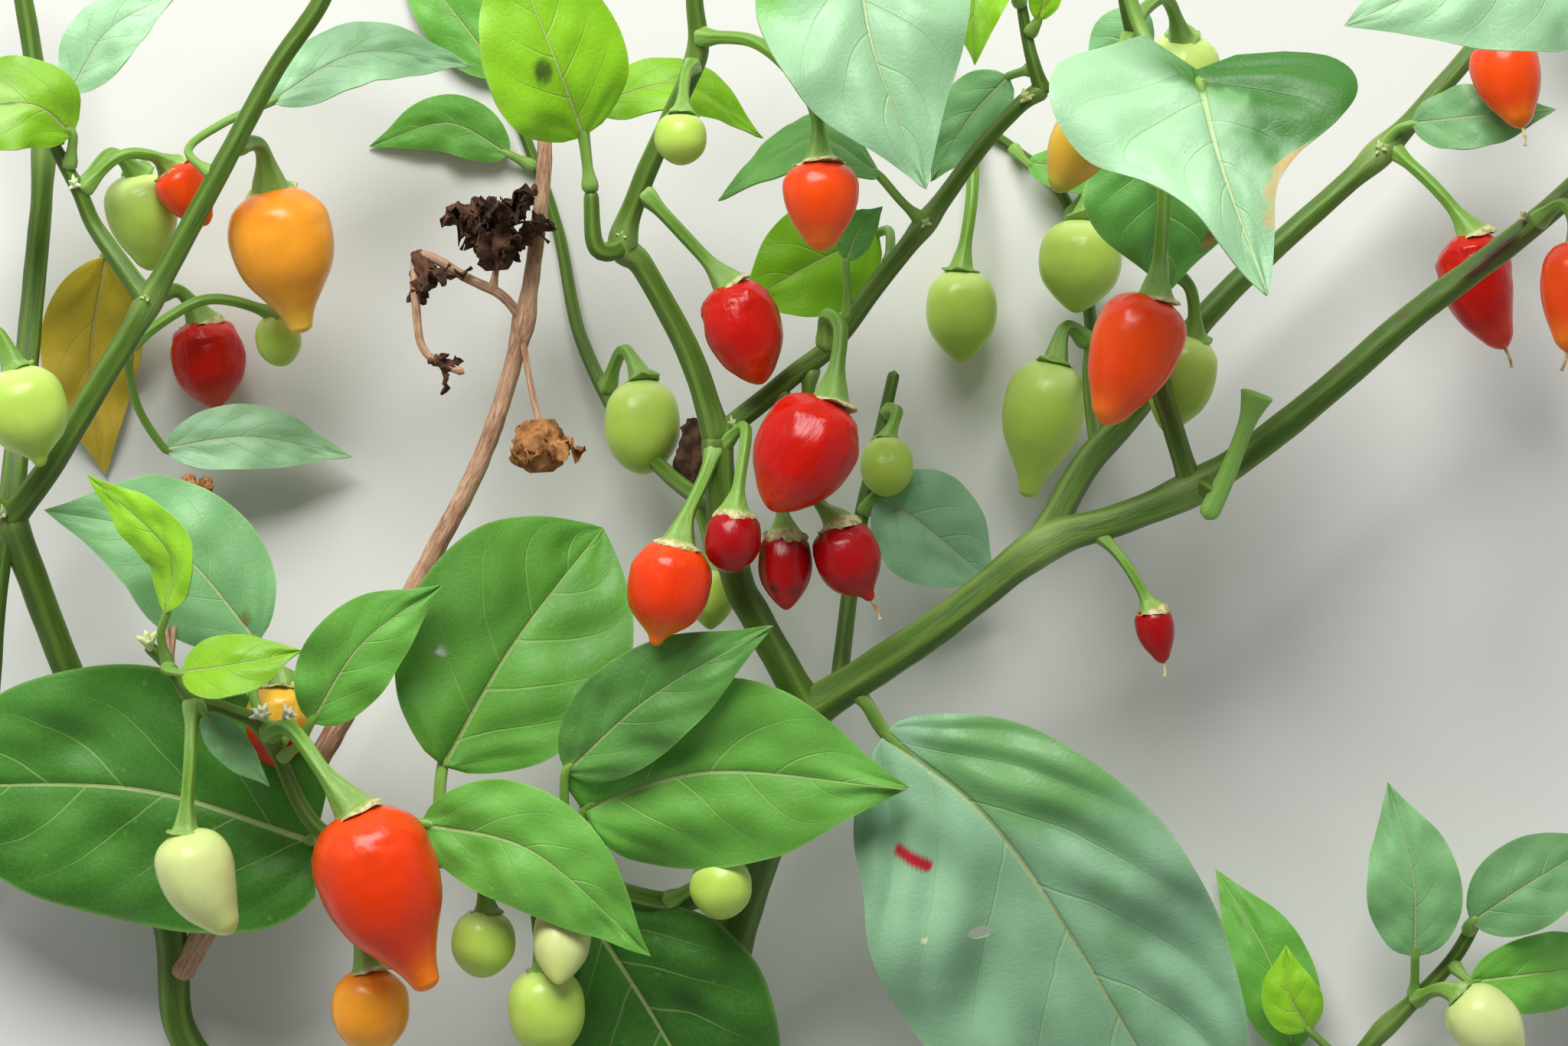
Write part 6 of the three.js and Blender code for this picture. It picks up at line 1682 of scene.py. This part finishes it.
class PEPPER_OT_small_pods(bpy.types.Operator):
    """Grow the small pods of the leafy twigs, one piece for each colour"""

    bl_idname = "pepper.small_pods"
    bl_label = "Small pods"

    def execute(self, context):
        finish = context.scene.pepper_pods
        for slot in sorted(set(POD_SLOTS.values())):
            rows = [row for row in PODS if "node" in row and POD_SLOTS[row["look"]] == slot]
            if not rows:
                continue
            looks = sorted({row["look"] for row in rows})
            bm = grown(lambda bm, row: add_flesh(bm, row, finish, looks.index(row["look"])), rows)
            skins = [pod_skin(look, finish) for look in looks]
            finish_piece(f"small_{slot}", bm, skins, slot, sorted(by_node(rows)))
        return {"FINISHED"}


class PEPPER_OT_stalks(bpy.types.Operator):
    """Grow the pedicels and calyx plates of all the pods, and the buds at the nodes"""

    bl_idname = "pepper.stalks"
    bl_label = "Pedicels and calyxes"

    def execute(self, context):
        def make(bm, row):
            if "way" in row:
                add_bud(bm, row, 0)
            else:
                add_stalk(bm, row, context.scene.pepper_pods, 0)

        bm = grown(make, PODS + BUDS)
        nodes = sorted(by_node(PODS + BUDS))
        finish_piece("pod_stalks", bm, [young_skin(context.scene.pepper_stems)], "green_stem", nodes)
        return {"FINISHED"}


def soft_light(name, spot, target, size, power):
    light = bpy.data.lights.new(name, "AREA")
    light.shape = "ELLIPSE"
    light.size, light.size_y = size
    light.energy = power
    lamp = bpy.data.objects.new(name, light)
    lamp.location = spot
    lamp.rotation_euler = (Vector(target) - Vector(spot)).to_track_quat("-Z", "Y").to_euler()
    bpy.context.scene.collection.objects.link(lamp)


def round_sky(strength):
    """A sky that is bright near the horizon and darker overhead, so that glossy skins keep their tone"""
    world = bpy.data.worlds.new("round_sky")
    world.use_nodes = True
    wires = Wires(world.node_tree)
    height = wires.add("SeparateXYZ", {0: wires.add("TexCoord").outputs["Generated"]}).outputs[2]
    back = world.node_tree.nodes["Background"]
    back.inputs["Color"].default_value = (0.95, 0.98, 1, 1)
    wires.feed(back.inputs["Strength"], wires.ramp(height, 0.35, 0.95, strength, strength * 0.3))
    return world


# The stage in metres, and the camera's sensor in millimetres
FLOOR_HALF_SIDE = 3
KEY_PLACE = (-0.12, 0.58, 0.58)
KEY_AIM = (0, 0, 0.03)
KEY_SIZE = (0.6, 0.45)
SENSOR_WIDTH = 36


class PEPPER_OT_stage(bpy.types.Operator):
    """Set up the plain floor, the soft light and the camera straight above"""

    bl_idname = "pepper.stage"
    bl_label = "Floor, light and camera"

    def execute(self, context):
        settings = context.scene.pepper_stage
        bm = bmesh.new()
        bmesh.ops.create_grid(bm, x_segments=2, y_segments=2, size=FLOOR_HALF_SIDE)
        mesh = bpy.data.meshes.new("floor")
        bm.to_mesh(mesh)
        bm.free()
        material, _, shader = new_material("floor_paper", 0.9, specular=0.2)
        shader.inputs["Base Color"].default_value = (*settings.floor, 1)
        mesh.materials.append(material)
        floor = bpy.data.objects.new("floor", mesh)
        context.scene.collection.objects.link(floor)
        soft_light("key_light", KEY_PLACE, KEY_AIM, KEY_SIZE, settings.key)
        context.scene.world = round_sky(settings.fill)
        context.scene.view_settings.view_transform = "Standard"
        camera = bpy.data.cameras.new("camera")
        camera.sensor_width = SENSOR_WIDTH
        camera.lens = settings.lens
        camera.clip_start = 0.01
        watcher = bpy.data.objects.new("camera", camera)
        focus = FOCUS_HEIGHT - MIDDLE.z + EYE_TO_FOCUS
        watcher.location = (-MIDDLE.x * MM, -MIDDLE.y * MM, focus * MM)
        context.scene.collection.objects.link(watcher)
        context.scene.camera = watcher
        return {"FINISHED"}


GROUPS = {"pepper_stems": PEPPER_StemSettings, "pepper_leaves": PEPPER_LeafSettings,
          "pepper_pods": PEPPER_PodSettings, "pepper_stage": PEPPER_StageSettings}
OPERATORS = (PEPPER_OT_limbs, PEPPER_OT_dead_twig, PEPPER_OT_large_leaves, PEPPER_OT_small_leaves,
             PEPPER_OT_large_pods, PEPPER_OT_small_pods, PEPPER_OT_stalks, PEPPER_OT_stage)


class PEPPER_PT_panel(bpy.types.Panel):
    """Lists the sizes, the colours and the steps that grow the branch"""

    bl_idname = "PEPPER_PT_panel"
    bl_label = "Pepper branch"
    bl_space_type = "VIEW_3D"
    bl_region_type = "UI"
    bl_category = "Pepper branch"

    def draw(self, context):
        for name, group in GROUPS.items():
            box = self.layout.box()
            box.label(text=group.__doc__)
            for setting in group.__annotations__:
                box.prop(getattr(context.scene, name), setting)
        for operator in OPERATORS:
            self.layout.operator(operator.bl_idname)


CLASSES = (*GROUPS.values(), *OPERATORS, PEPPER_PT_panel)


def register():
    for cls in CLASSES:
        bpy.utils.register_class(cls)
    for name, group in GROUPS.items():
        setattr(bpy.types.Scene, name, PointerProperty(type=group))


def unregister():
    for name in GROUPS:
        delattr(bpy.types.Scene, name)
    for cls in reversed(CLASSES):
        bpy.utils.unregister_class(cls)


def main():
    register()
    for step in OPERATORS:
        group, action = step.bl_idname.split(".")
        getattr(getattr(bpy.ops, group), action)()


if __name__ == "__main__":
    main()
